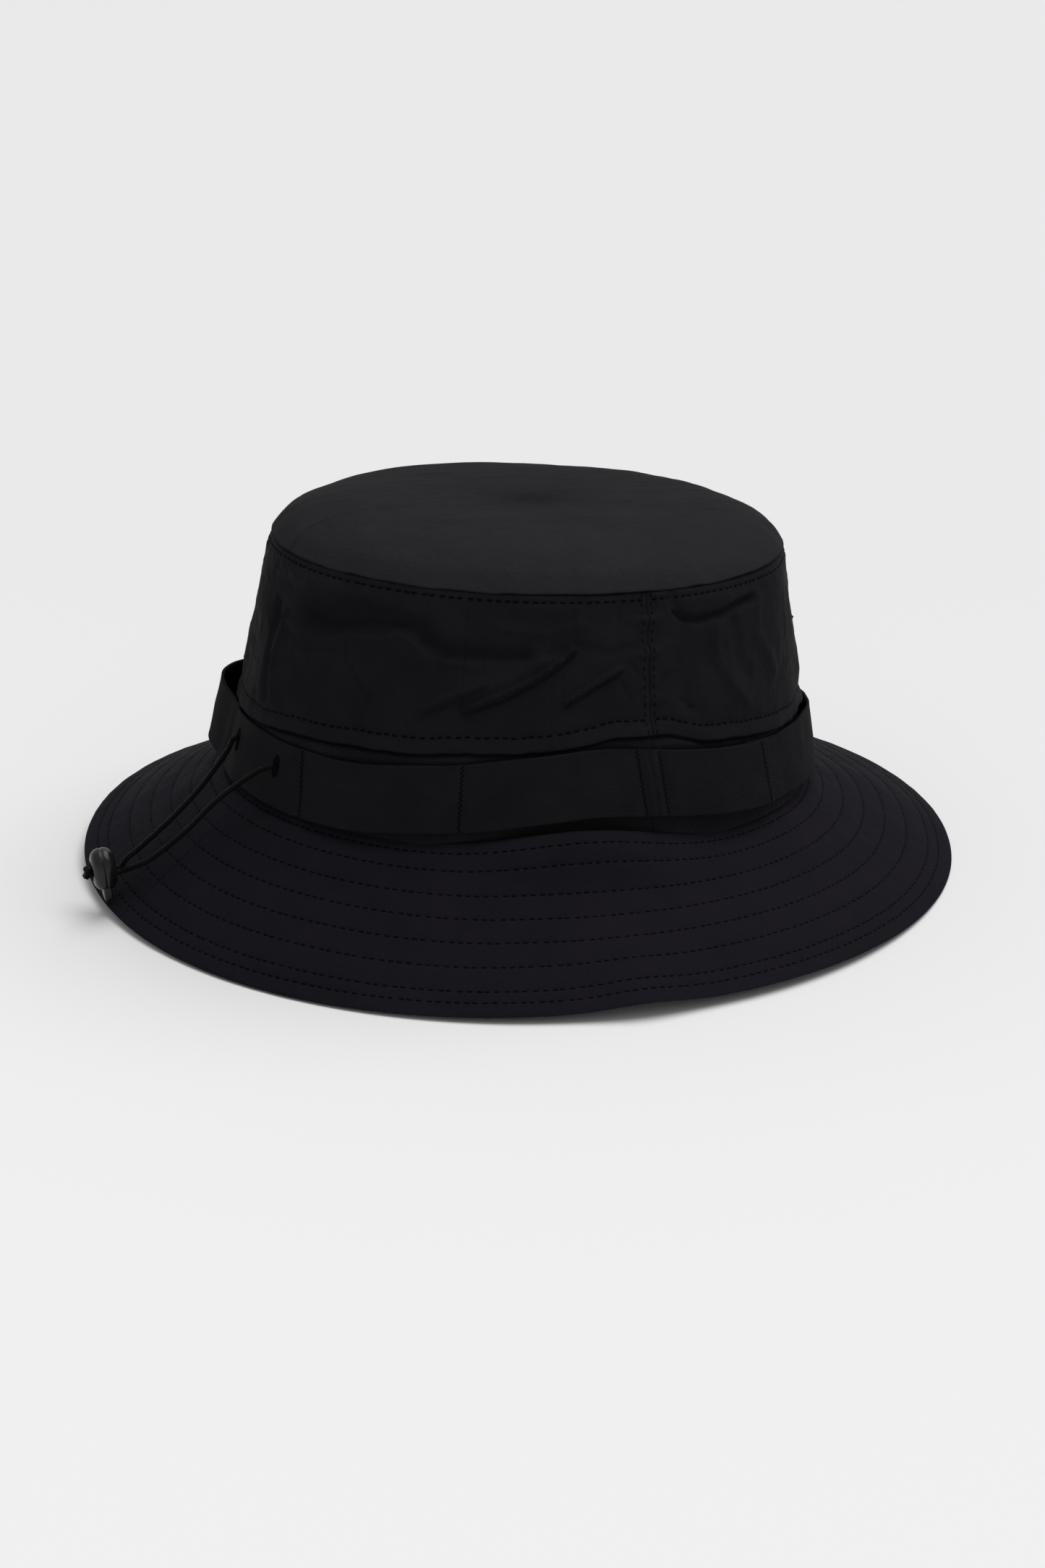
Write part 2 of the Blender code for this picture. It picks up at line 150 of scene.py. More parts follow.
BAND_HEIGHT = 0.0230
BAND_GAP = 0.0004
# Loops of the webbing between tacks: start, end and how far each stands off.
BACK_LOOPS = ((-89.0, -52.0, 0.0016), (-52.0, -16.6, 0.0085), (16.6, 52.0, 0.0012), (52.0, 89.0, 0.0018))
FRONT_LOOPS = ((125.0, 179.0, 0.0027), (181.0, 236.0, 0.0040))
FRONT_TACK = 179.0
BAND_END = 119.0
# Bar tacks: the turns of each one's top and bottom.
TACKS = ((16.6, 18.4), (52.0, 52.0), (85.4, 87.2), (90.2, 91.8))
END_TACK = (116.6, 118.2)
WEBBING_JOINT = (87.6, 89.6)
BAND_LAP = 6.0
LAP_RISE = 0.0022
BASE_SPAN = (0.0009, 0.0460)
# The sweatband's section, as height and distance out in millimetres: it bulges round the drawcord.
SWEATBAND_OUTLINE = ((2.2, -1.1), (9.0, -1.3), (11.2, -3.6), (18.8, -3.6), (21.0, -1.3), (35.0, -1.1))

# Drawcord and cord lock, as in the CAD model.
CORD_RADIUS = 0.0010
BRAID_PITCH = 0.0024
BRAID_YARNS = 8
CORD_LEVEL = 0.0150
SLIT_TURN = 9.4
SLIT_HALF = (0.0012, 0.0015)
SLIT_STITCH_HALF = (0.0014, 0.0034)
ROUTE_LEFT = (
    (-0.0146, -0.1153, 0.0501),
    (-0.0126, -0.1256, 0.0403),
    (-0.0116, -0.1368, 0.0314),
    (-0.0114, -0.1486, 0.0230),
    (-0.0114, -0.1546, 0.0192),
)
ROUTE_RIGHT = (
    (0.0128, -0.1168, 0.0526),
    (0.0073, -0.1281, 0.0430),
    (0.0027, -0.1380, 0.0317),
    (-0.0028, -0.1486, 0.0214),
    (-0.0062, -0.1546, 0.0178),
)
LOCK_CENTRE = (-0.0111, -0.1635, 0.0170)
LOCK_TURN = -12.0
LOCK_LEAN = 6.6
LOCK_HALF = (0.0065, 0.0076)
LOCK_DEPTH = 0.0073
LOCK_THICK = 0.0083
LOCK_EDGE = 0.0036
LOCK_RIM = 0.0008
LOCK_WAIST = 0.00028
# Power of its outline: 2 would be an oval.
LOCK_ROUNDNESS = 2.08
LOCK_SLOT = (0.0052, 0.0050)
PLUNGER_SIZE = (0.0074, 0.0030)
PLUNGER_SPAN = (-0.0113, 0.0012)
PLUNGER_TRAVEL = 0.0024
BORE_TOP = 0.0040
POCKET = (0.0036, 0.0036, 0.0024)
POCKET_MIDDLE = 0.0048
SPRING_RADIUS = 0.0012
SPRING_WIRE = 0.0002
SPRING_TURNS = 3.5
SPRING_SPAN = (0.0017, 0.0055)
CORD_DROP = PLUNGER_TRAVEL / 2
CORD_SPREAD = 0.00115
MOUTH_DROP = {"left": 0.0, "right": 0.0006}
KNOT_RADIUS = 0.0024
KNOT_PROUD = 0.0012
KNOT_CORD = 0.0009
KNOT_TAIL = ((0.0004, 0.0, -0.0002), (0.0008, -0.0008, -0.0010), (0.0012, -0.0014, -0.0019))
STRAND_END = -0.0032

# Stitching; the sweatband's rows are given by height and distance out.
BRIM_ROWS = (0.0021, 0.0084, 0.0170, 0.0256, 0.0345, 0.0436, 0.0527, 0.0571)
TIP_STITCH_DROP = 0.0052
FLAP_STITCH_RISE = 0.0052
SWEATBAND_ROWS = ((0.0105, -0.0024), (0.0215, -0.0021), (0.0335, -0.0019))
SEAM_STITCH_TURNS = (-90.0, -87.9, 87.9, 90.0)
# The turns of a row of stitches that goes all round.
RING = (0.0, 359.7)
STITCH_PITCH = 0.0031
STITCH_LENGTH = 0.0019
STITCH_JITTER = 0.14
SEAM_STITCH_LENGTH = 0.0016
EYELET_STITCH_LENGTH = 0.0014
# How deep a stitch's middle lies in the cloth, as a share of half its thickness.
STITCH_SINK = 0.15
CROWN_STITCH_SINK = -0.10
TACK_HALF = (0.00022, 0.00020)
# A tack's stitches slope to and fro by this angle.
TACK_SWING = 0.55
TACK_STITCHES = 27
EYELET_STITCHES = 30
STITCH_HALF = (0.00038, 0.00030)

# Relief of the cloths: soft waves, then sharp crinkles, each as depth, cell, seed and stretch round the hat.
RELIEF = {
    "wall": (((0.0010, 0.022, 11), (0.00045, 0.009, 12, 1.4)),
             ((0.00030, 0.007, 13, 1.5), (0.00014, 0.0035, 14))),
    "flap": (((0.0005, 0.012, 71), (0.0002, 0.004, 72)), ()),
    "base": (((0.00025, 0.012, 31),), ((0.00012, 0.006, 32),)),
    "brim": (((0.0009, 0.045, 51), (0.0004, 0.018, 52)), ()),
    "sweatband": (((0.00025, 0.014, 81),), ((0.00015, 0.006, 82),)),
    "tip_tape": (((0.0001, 0.010, 83),), ()),
    "side_tape": (((0.0001, 0.008, 84),), ()),
}
# Where seams and rows of stitches draw the cloth in, and the puckers beside them: depth and reach.
TIP_ROW_GROOVE = (0.00055, 0.0010)
TIP_ROW_PUCKERS = (0.00030, 0.004)
FLAP_ROW_GROOVE = (0.00050, 0.0011)
FLAP_ROW_PUCKERS = (0.00035, 0.004)
SIDE_SEAM_GROOVE = (0.0005, 0.0011)
SIDE_SEAM_PUCKERS = (0.0015, 0.0050)
UNDER_FLAP_CREASE = (0.0013, 0.0009)
BRIM_ROW_GROOVE = (0.00012, 0.00060)
# The wall rolls in at its top: depth, and start and reach below the tip's seam.
TOP_ROLL = (0.0016, 0.0024, 0.0010)
# How far the flap's edge stands out, and its ruffles; the brim's channels and their puckers.
FLAP_STAND = (0.0009, 0.0008)
CHANNEL_STAND = (0.00022, 0.00014)
# How far the tapes behind the wall reach from the tip's seam and from a side seam.
TAPE_REACH = (0.0105, 0.0048)

FOLD_DEPTH = 1.6
# Folds of the crown wall: width, depth and slant in mm, then (turn, height in mm) along the fold.
CROWN_FOLDS = (
    (4.6, -2.6, 0.0, (12, 71.5), (18, 71), (26, 73.5), (34, 75.2), (41, 74.5)),
    (3.0, -1.9, 0.0, (43, 69), (48, 66.6), (56, 66.6), (63, 67.2)),
    (1.7, 0.9, 0.0, (3, 64.5), (13, 63.8), (18, 62.4), (25, 66.6), (32, 66.8), (36.5, 70.8), (40, 68.6),
     (43, 63.6)),
    (2.4, 0.8, 0.0, (3, 80.5), (17, 79.5), (27, 79.6), (36, 79.2), (43, 77)),
    (1.6, 0.7, 0.0, (47, 63), (53, 63.4), (63, 64.6), (70, 66)),
    (1.1, 0.5, 1.6, (43, 45.5), (47.6, 49.7), (55, 56)),
    (1.0, 0.8, 2.5, (51.6, 47.7), (59.5, 53.3), (66.5, 60), (70.3, 64.7), (73, 68.5)),
    (0.9, 0.6, 2.2, (71.5, 51), (77, 56.7), (82.6, 61.5)),
    (3.2, 0.8, 0.0, (52, 54), (60, 59), (66, 65)),
    (1.5, -1.7, 0.8, (95.2, 85), (96.1, 80), (98.5, 77.6), (102, 76.2), (108, 76.9), (114.5, 78.5),
     (120, 79.3)),
    (3.2, 0.6, 0.0, (121.8, 77), (121, 72.5), (120, 66), (123.7, 57.7), (125.7, 50)),
    (2.6, 0.6, 0.0, (107, 73), (106.4, 66), (107.2, 59), (110, 52), (114, 44.5)),
    (2.6, -0.7, 0.0, (112.5, 73), (113.5, 66), (113, 59.5), (116, 53)),
    (3.8, -0.8, 0.0, (97.5, 74), (97, 65.4), (97, 56), (98.4, 49), (100, 43)),
    (1.5, 0.8, 0.3, (2.4, 66), (1.3, 56), (1.2, 46.5), (3.6, 35)),
    (2.2, -1.0, 0.0, (-2.0, 68), (-3.0, 56), (-2.5, 46), (-0.5, 35)),
    (1.2, -0.6, 0.0, (23.8, 65.2), (24.7, 57.5)),
    (1.2, -0.6, 0.0, (26.4, 55.4), (28.8, 50.9), (31.5, 46.4)),
    (2.0, 0.6, 0.0, (8, 57), (14, 55.5), (20, 58)),
    (1.8, 0.5, 0.0, (58, 76), (66, 74.5), (75, 77)),
    (1.6, -0.6, 0.3, (74, 71), (80, 68), (86, 69.5)),
    (1.0, -0.5, 0.3, (90.6, 54.5), (92.8, 59)),
    (0.9, -0.4, 0.2, (82.8, 57.8), (84.9, 51.8)),
    (0.9, -0.4, 0.2, (86.6, 53.5), (87.8, 48)),
    (0.9, -0.4, 0.2, (90.2, 47), (92.5, 49)),
    (1.0, -0.5, 0.2, (96.8, 50), (99.4, 46)),
    (0.9, -0.4, 0.2, (84.5, 64), (87.0, 60)),
    (0.9, 0.4, 0.2, (90.5, 66), (93.0, 70)),
    (0.8, -0.4, 0.2, (86.0, 75), (87.6, 79)),
)


# ---- places on the hat, for arrays of turns

def compass(turn):
    """A turn as an angle in radians from +X."""
    return np.radians(np.asarray(turn, float) - 90.0)


def side_turn(turn):
    """Degrees from the centre back, the same on both sides."""
    return np.abs((np.asarray(turn) + 180.0) % 360.0 - 180.0)


def oval_point(centre, half, height, turn):
    angle = compass(turn)
    x = centre[0] + half[0] * np.cos(angle)
    y = centre[1] + half[1] * np.sin(angle)
    return np.stack([x, y, height + CROWN_LEAN[0] * x + CROWN_LEAN[1] * y], -1)


def unit(vectors):
    return vectors / np.linalg.norm(vectors, axis=-1, keepdims=True)


def seam_point(turn):
    return oval_point(SEAM_CENTRE, SEAM_HALF, SEAM_HEIGHT, turn)


def tip_edge(turn):
    return oval_point(TIP_CENTRE, TIP_HALF, SEAM_HEIGHT + TIP_RISE, turn)


def seam_tangent(turn):
    angle = compass(turn)
    return unit(np.stack([-SEAM_HALF[0] * np.sin(angle), SEAM_HALF[1] * np.cos(angle), 0.0 * angle], -1))


def wall_length(turn):
    return np.linalg.norm(tip_edge(turn) - seam_point(turn), axis=-1)


def wall_point(turn, height, out):
    foot = seam_point(turn)
    slope = unit(tip_edge(turn) - foot)
    normal = unit(np.cross(seam_tangent(turn), slope))
    return foot + slope * np.asarray(height)[..., None] + normal * np.asarray(out)[..., None]


def rim_height(turn):
    angle = compass(turn)
    waves = (c * np.cos(k * angle) + s * np.sin(k * angle) for k, (c, s) in enumerate(RIM_WAVES, 1))
    return RIM_HEIGHT + sum(waves)


def brim_point(turn, along, up):
    seam = seam_point(turn)
    tangent = seam_tangent(turn)
    outward = np.cross(tangent, [0.0, 0.0, 1.0])
    drop = rim_height(turn) - seam[..., 2]
    fall = np.stack([0.0 * drop, 0.0 * drop, drop], -1)
    slope = (outward * np.sqrt(BRIM_WIDTH ** 2 - drop ** 2)[..., None] + fall) / BRIM_WIDTH
    normal = unit(np.cross(slope, tangent))
    return seam + slope * np.asarray(along)[..., None] + normal * np.asarray(up)[..., None]


def tip_point(turn, reach, up):
    """A point on the domed tip: reach runs from 0 at its middle to 1 at its edge."""
    half = [(side + CLOTH + GAP) * reach for side in TIP_HALF]
    axis = unit(np.array([-CROWN_LEAN[0], -CROWN_LEAN[1], 1.0]))
    lift = TIP_DOME * (1.0 - np.maximum(reach, 0.0) ** 8) + up
    return oval_point(TIP_CENTRE, half, SEAM_HEIGHT + TIP_RISE, turn) + axis * lift[..., None]


def line_height(turn, line):
    """A height in metres read from a line of (turn, millimetres), softened at its corners."""
    turns = np.array([t for t, _ in line], float)
    heights = np.array([h for _, h in line], float)
    low = turns[0]
    places = [(np.asarray(turn, float) + shift - low) % 360.0 + low for shift in (-2.5, 0.0, 2.5)]
    return sum(np.interp(place, turns, heights, period=360.0) for place in places) / 3.0 * MM


def smooth_step(value):
    value = np.clip(value, 0.0, 1.0)
    return value * value * (3.0 - 2.0 * value)


def bell(distance, width):
    """A smooth hump of height 1 at no distance."""
    return np.exp(-(distance / width) ** 2)


def loop_rise(turn, loops):
    """How far the webbing's loops stand off."""
    rise = 0.0 * turn
    for start, end, height in loops:
        share = np.clip((turn - start) / (end - start), 0.0, 1.0)
        rise = rise + height * np.sin(np.pi * share) ** 2
    return rise


# ---- noise and folds

def noise(x, y, seed, around=256):
    """Smooth noise from -1 to 1 over unit cells, repeating after a number of cells in x."""
    table = np.random.default_rng(seed).uniform(-1.0, 1.0, (256, 256))
    column = np.floor(x).astype(int)
    row = np.floor(y).astype(int)
    fx = smooth_step(x - column)
    fy = smooth_step(y - row)
    left, right = column % around, (column + 1) % around
    low, high = row % 256, (row + 1) % 256
    bottom = table[left, low] * (1 - fx) + table[right, low] * fx
    top = table[left, high] * (1 - fx) + table[right, high] * fx
    return bottom * (1 - fy) + top * fy


def cloth_noise(turn, height, cell, seed, stretch=1.0):
    """Noise over the cloth round the hat; stretch over 1 draws it out around the hat."""
    around = min(round(GIRTH / (cell * stretch)), 256)
    return noise(np.asarray(turn) / 360.0 * around, np.asarray(height) / cell, seed, around)


def crinkle(turn, height, cell, seed, stretch=1.0):
    """Sharp little ridges, from 0 to 1."""
    warp = 0.5 * cell * cloth_noise(turn, height, 2.2 * cell, seed + 1)
    return (1.0 - np.abs(cloth_noise(turn + warp / GIRTH * 360.0, height + warp, cell, seed, stretch))) ** 3


def relief(turn, height, cloth):
    """The waves and crinkles of one kind of cloth."""
    waves, crinkles = RELIEF[cloth]
    total = sum(depth * cloth_noise(turn, height, *rest) for depth, *rest in waves)
    return total + sum(depth * crinkle(turn, height, *rest) for depth, *rest in crinkles)


def fold(turn, height, path, width, depth, slant):
    """One ridge or valley along a path of (turn, mm); its slant makes one flank steeper."""
    scale = GIRTH / 360.0
    x = (turn + 180.0 - path[0][0]) % 360.0 - 180.0 + path[0][0]
    x = x * scale
    nearest = np.full(np.shape(x), np.inf)
    side = np.zeros(np.shape(x))
    for (turn_a, high_a), (turn_b, high_b) in zip(path, path[1:]):
        ax, ay = turn_a * scale, high_a * MM
        bx, by = turn_b * scale - ax, high_b * MM - ay
        share = np.clip(((x - ax) * bx + (height - ay) * by) / (bx * bx + by * by), 0.0, 1.0)
        distance = np.hypot(x - ax - share * bx, height - ay - share * by)
        across = ((height - ay) * bx - (x - ax) * by) / math.hypot(bx, by)
        closer = distance < nearest
        side = np.where(closer, across, side)
        nearest = np.where(closer, distance, nearest)
    reach = width * MM
    return MM * bell(nearest, reach) * (depth + slant * np.clip(side / reach, -1.5, 1.5))


def wall_folds(turn, height):
    """All folds of the crown wall; the left and the front have the same folds, mirrored, moved and softer."""
    total = 0.0 * turn
    for width, depth, slant, *path in CROWN_FOLDS:
        total = total + fold(turn, height, path, width, depth * FOLD_DEPTH, slant * FOLD_DEPTH)
        if path[0][0] > 20.0:
            mirrored = [(-0.94 * t - 8.0, h - 1.5) for t, h in path]
            total = total + fold(turn, height, mirrored, width * 1.2, depth, -slant)
        if path[0][0] < 75.0:
            opposite = [(238.0 - t, h - 4.0) for t, h in path]
            total = total + fold(turn, height, opposite, width * 1.2, depth, -slant)
    return total


# ---- meshes

def add_object(name, data):
    obj = bpy.data.objects.new(name, data)
    bpy.context.scene.collection.objects.link(obj)
    return obj


def new_object(name, points, faces, material, uv=None, smooth=True):
    mesh = bpy.data.meshes.new(name)
    mesh.from_pydata(np.asarray(points, float).reshape(-1, 3).tolist(), [], faces)
    if smooth:
        mesh.shade_smooth()
    if uv is not None:
        corner = np.empty(len(mesh.loops), int)
        mesh.loops.foreach_get("vertex_index", corner)
        layer = mesh.uv_layers.new(name="cloth")
        layer.data.foreach_set("uv", np.asarray(uv, float).reshape(-1, 2)[corner].ravel())
    mesh.materials.append(material)
    return add_object(name, mesh)


def grid_faces(rows, columns, closed, keep=None, looped=False):
    """Faces of a grid of points; closed joins its last column to its first, looped its last row too."""
    across = np.arange(columns if closed else columns - 1)
    row, i = np.meshgrid(np.arange(rows if looped else rows - 1), across, indexing="ij")
    if keep is not None:
        row, i = row[keep], i[keep]
    j = (i + 1) % columns
    low = row * columns
    high = (row + 1) % rows * columns
    faces = np.stack([low + i, low + j, high + j, high + i], -1).reshape(-1, 4)
    return [tuple(face) for face in faces.tolist()]


def cell_middles(grid):
    return (grid[:-1, :-1] + grid[1:, 1:]) / 2


def grid_lengths(points, closed):
    """Distances along the columns and rows of a grid of points, for its texture."""
    along = np.linalg.norm(np.diff(points, axis=1), axis=2)
    across = np.linalg.norm(np.diff(points, axis=0), axis=2)
    u = np.concatenate([np.zeros((len(points), 1)), np.cumsum(along, axis=1)], axis=1)
    u = np.broadcast_to(u[len(points) // 2], u.shape)
    v = np.concatenate([np.zeros((1, points.shape[1])), np.cumsum(across, axis=0)], axis=0)
    return np.stack([u, v], -1)


def attach(obj, body, node):
    """Ride on a body and stand for a CAD node."""
    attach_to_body(obj, body)
    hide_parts(node)


def cloth_piece(materials, kind, node, points, closed, keep=None, cap=False):
    """A CAD node's cloth from a grid of points on its outer face, made solid inwards."""
    ending, slot, thickness = CLOTH_KINDS[kind]
    rows, columns = points.shape[:2]
    faces = grid_faces(rows, columns, closed, keep)
    if cap:
        faces.append(tuple(range((rows - 1) * columns, rows * columns)))
    name = "%s_%s" % (node, ending)
    obj = new_object(name, points, faces, materials[kind], grid_lengths(points, closed))
    solid = obj.modifiers.new("Thickness", "SOLIDIFY")
    solid.thickness = thickness
    solid.offset = -1.0
    attach(obj, "hat", node)


def span(start, end, step):
    return np.linspace(start, end, max(round((end - start) / step), 1) + 1)


def ring_turns(count, whole=360.0):
    """Evenly spaced turns all round, in degrees or in parts of another whole."""
    return np.arange(count) * whole / count


def walked(points):
    """Distances along a path of points."""
    return np.concatenate([[0.0], np.cumsum(np.linalg.norm(np.diff(points, axis=0), axis=1))])


def frames_along(points):
    """Two unit vectors square to each step of a path, turning as little as they can."""
    steps = unit(np.gradient(points, axis=0))
    side = np.cross(steps[0], [0.0, 0.0, 1.0])
    if np.linalg.norm(side) < 0.1:
        side = np.cross(steps[0], [1.0, 0.0, 0.0])
    sides = []
    for step in steps:
        side = unit(side - step * np.dot(side, step))
        sides.append(side)
    sides = np.array(sides)
    return sides, np.cross(steps, sides)


def tube_mesh(points, radius, sides=16, closed=False):
    """Points, faces and texture places of a tube round a path; radius(angle, along) or a number."""
    points = np.asarray(points, float)
    across, over = frames_along(points)
    if closed:
        across, over = untwist(points, across, over)
    angle = ring_turns(sides, 2.0 * np.pi)
    angles, lengths = np.meshgrid(angle, walked(points))
    size = radius(angles, lengths) if callable(radius) else np.full(angles.shape, radius)
    ring = across[:, None] * np.cos(angles)[..., None] + over[:, None] * np.sin(angles)[..., None]
    places = points[:, None] + ring * size[..., None]
    rows = len(points)
    faces = grid_faces(rows, sides, True, looped=closed)
    if not closed:
        faces.append(tuple(range(sides - 1, -1, -1)))
        faces.append(tuple(range((rows - 1) * sides, rows * sides)))
    uv = np.stack([angles / (2.0 * np.pi), lengths], -1)
    return places.reshape(-1, 3), faces, uv.reshape(-1, 2)


def untwist(points, across, over):
    """Spread the twist left at the end of a closed path over its whole length."""
    error = math.atan2(np.dot(across[0], over[-1]), np.dot(across[0], across[-1]))
    share = np.linspace(0.0, 1.0, len(points)) * error
    cos, sin = np.cos(share)[:, None], np.sin(share)[:, None]
    return across * cos + over * sin, over * cos - across * sin


def smooth_route(points, spacing):
    """Points a spacing apart on the Catmull-Rom curve through the given points."""
    points = [np.asarray(point, float) for point in points]
    guide = [2 * points[0] - points[1], *points, 2 * points[-1] - points[-2]]
    fine = []
    for a, b, c, d in zip(guide, guide[1:], guide[2:], guide[3:]):
        for t in np.arange(24) / 24:
            fine.append(0.5 * (2 * b + (c - a) * t + (2 * a - 5 * b + 4 * c - d) * t ** 2
                               + (3 * b - a - 3 * c + d) * t ** 3))
    fine = np.array([*fine, points[-1]])
    lengths = walked(fine)
    places = np.linspace(0.0, lengths[-1], round(lengths[-1] / spacing) + 1)
    return np.stack([np.interp(places, lengths, fine[:, k]) for k in range(3)], -1)


# ---- stitches

def stitch_shape():
    """One stitch about its middle: x along the row, y across it, z out of the cloth."""
    points = []
    for share, size in ((-0.5, 0.35), (-0.36, 0.9), (0.0, 1.0), (0.36, 0.9), (0.5, 0.35)):
        for angle in np.radians((-30, 20, 90, 160, 210)):
            points.append((share, math.cos(angle) * size, math.sin(angle) * size))
    faces = [face[::-1] for face in grid_faces(5, 5, True)]
    faces.append((0, 1, 2, 3, 4))
    faces.append((24, 23, 22, 21, 20))
    return np.array(points), faces


def stitches(name, slot, material, *runs, length=STITCH_LENGTH, half=STITCH_HALF, sink=STITCH_SINK):
    """Stitches as one piece; a run holds their middles, directions and surface normals."""
    shape, shape_faces = stitch_shape()
    middles, ahead, normals = (np.concatenate([run[k] for run in runs]) for k in range(3))
    ahead = unit(ahead)
    across = unit(np.cross(normals, ahead))
    up = np.cross(ahead, across)
    points = (middles[:, None]
              + ahead[:, None] * (shape[:, 0] * length)[None, :, None]
              + across[:, None] * (shape[:, 1] * half[0])[None, :, None]
              + up[:, None] * ((shape[:, 2] - sink) * half[1])[None, :, None])
    faces = [tuple(k * len(shape) + v for v in face) for k in range(len(middles)) for face in shape_faces]
    uv = np.tile(np.stack([shape[:, 0] * length, shape[:, 1] * half[0]], -1), (len(middles), 1))
    obj = new_object(name, points, faces, material, uv)
    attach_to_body(obj, "hat")


def stitch_run(place, turns, seed=0):
    """Evenly pitched stitches along place(turn) over the turns; place gives a point and a normal."""
    dense = span(turns[0], turns[1], 0.25)
    lengths = walked(place(dense)[0])
    count = max(round(lengths[-1] / STITCH_PITCH), 1)
    jitter = np.random.default_rng(seed).uniform(-STITCH_JITTER, STITCH_JITTER, count)
    wanted = np.interp((np.arange(count) + 0.5 + jitter) * lengths[-1] / count, lengths, dense)
    middles, normals = place(wanted)
    ahead = place(wanted + 0.1)[0] - place(wanted - 0.1)[0]
    return middles, ahead, normals


def surface_axes(surface, turn, second, turn_step, second_step):
    """Unit vectors round the hat, across that, and out of a surface(turn, second)."""
    ahead = unit(surface(turn + turn_step, second) - surface(turn - turn_step, second))
    across = unit(surface(turn, second + second_step) - surface(turn, second - second_step))
    return ahead, across, unit(np.cross(ahead, across))


def surface_place(surface, second):
    """A place function on a surface(turn, second) -> points, with its normal found from it."""
    def place(turn):
        at = second(turn) if callable(second) else np.full(np.shape(turn), float(second))
        return surface(turn, at), surface_axes(surface, turn, at, 0.2, 0.0003)[2]
    return place


# ---- materials

def set_inputs(tree, node, inputs):
    """Link a node's inputs to the sockets given, and set the others to the values given."""
    for key, value in inputs.items():
        if isinstance(value, bpy.types.NodeSocket):
            tree.links.new(value, node.inputs[key])
        else:
            node.inputs[key].default_value = value


def add_node(tree, kind, inputs=None, **settings):
    node = tree.nodes.new("ShaderNode" + kind)
    for key, value in settings.items():
        setattr(node, key, value)
    set_inputs(tree, node, inputs or {})
    return node


def math_node(tree, operation, first, second=0.0):
    return add_node(tree, "Math", {0: first, 1: second}, operation=operation).outputs[0]


def start_material(name, roughness, specular):
    material = bpy.data.materials.new(name)
    material.use_nodes = True
    tree = material.node_tree
    shader = tree.nodes["Principled BSDF"]
    set_inputs(tree, shader, {"Roughness": roughness, "Specular IOR Level": specular})
    return material, tree, shader


def waves_of(tree, coordinate, *periods):
    """Angles that turn once in each period along both directions of the texture places."""
    parts = add_node(tree, "SeparateXYZ", {0: coordinate}).outputs
    return [math_node(tree, "MULTIPLY", parts[k], 2.0 * math.pi / period) for k, period in enumerate(periods)]


def bump(tree, height, distance, normal=None):
    inputs = {"Height": height, "Distance": distance, "Strength": 1.0}
    if normal is not None:
        inputs["Normal"] = normal
    return add_node(tree, "Bump", inputs).outputs[0]


def noise_node(tree, coordinate, cell, detail=3.0, roughness=0.55, distortion=0.0):
    inputs = {"Vector": coordinate, "Scale": 1.0 / cell, "Detail": detail, "Roughness": roughness,
              "Distortion": distortion}
    return add_node(tree, "TexNoise", inputs).outputs[0]


def vary(tree, value, low=0.0, high=1.0, first=0.3, last=0.7):
    """Spread the part of a value between first and last over low to high."""
    inputs = {"Value": value, "From Min": first, "From Max": last, "To Min": low, "To Max": high}
    return add_node(tree, "MapRange", inputs).outputs[0]


def mix_colours(tree, share, first, second):
    node = add_node(tree, "Mix", {0: share}, data_type="RGBA")
    node.inputs[6].default_value = (*first, 1.0)
    node.inputs[7].default_value = (*second, 1.0)
    return node.outputs[2]


def cloth_material(name, dark, light, roughness, specular, weave, weave_depth, crinkle_cell, crinkle_depth,
                   sheen=0.0, ribs=False):
    """Woven cloth: a weave along its texture places, crinkles, worn lighter patches."""
    material, tree, shader = start_material(name, roughness, specular)
    places = add_node(tree, "TexCoord")
    body = places.outputs["Object"]
    turn_u, turn_v = waves_of(tree, places.outputs["UV"], *weave)
    wave_v = math_node(tree, "SINE", turn_v)
    if ribs:
        shifted = math_node(tree, "ADD", turn_u, math_node(tree, "MULTIPLY", wave_v, 0.8))
        wave_u = math_node(tree, "MULTIPLY", math_node(tree, "SINE", shifted), 0.35)
        woven = math_node(tree, "ADD", wave_v, wave_u)
    else:
        woven = math_node(tree, "MULTIPLY", math_node(tree, "SINE", turn_u), wave_v)
    creases = noise_node(tree, body, crinkle_cell, 4.0, 0.6, 0.6)
    sharp = math_node(tree, "ABSOLUTE", math_node(tree, "SUBTRACT", creases, 0.5))
    grain = noise_node(tree, body, 0.0006, 1.0)
    normal = bump(tree, sharp, crinkle_depth)
    normal = bump(tree, woven, weave_depth, normal)
    patches = noise_node(tree, body, WORN_CELL, 5.0, 0.65)
    set_inputs(tree, shader, {
        "Normal": bump(tree, grain, weave_depth * 1.5, normal),
        "Base Color": mix_colours(tree, vary(tree, patches), dark, light),
        "Roughness": vary(tree, patches, roughness - 0.05, roughness + 0.06),
        "Sheen Weight": sheen,
        "Sheen Roughness": SHEEN_ROUGHNESS,
    })
    return material


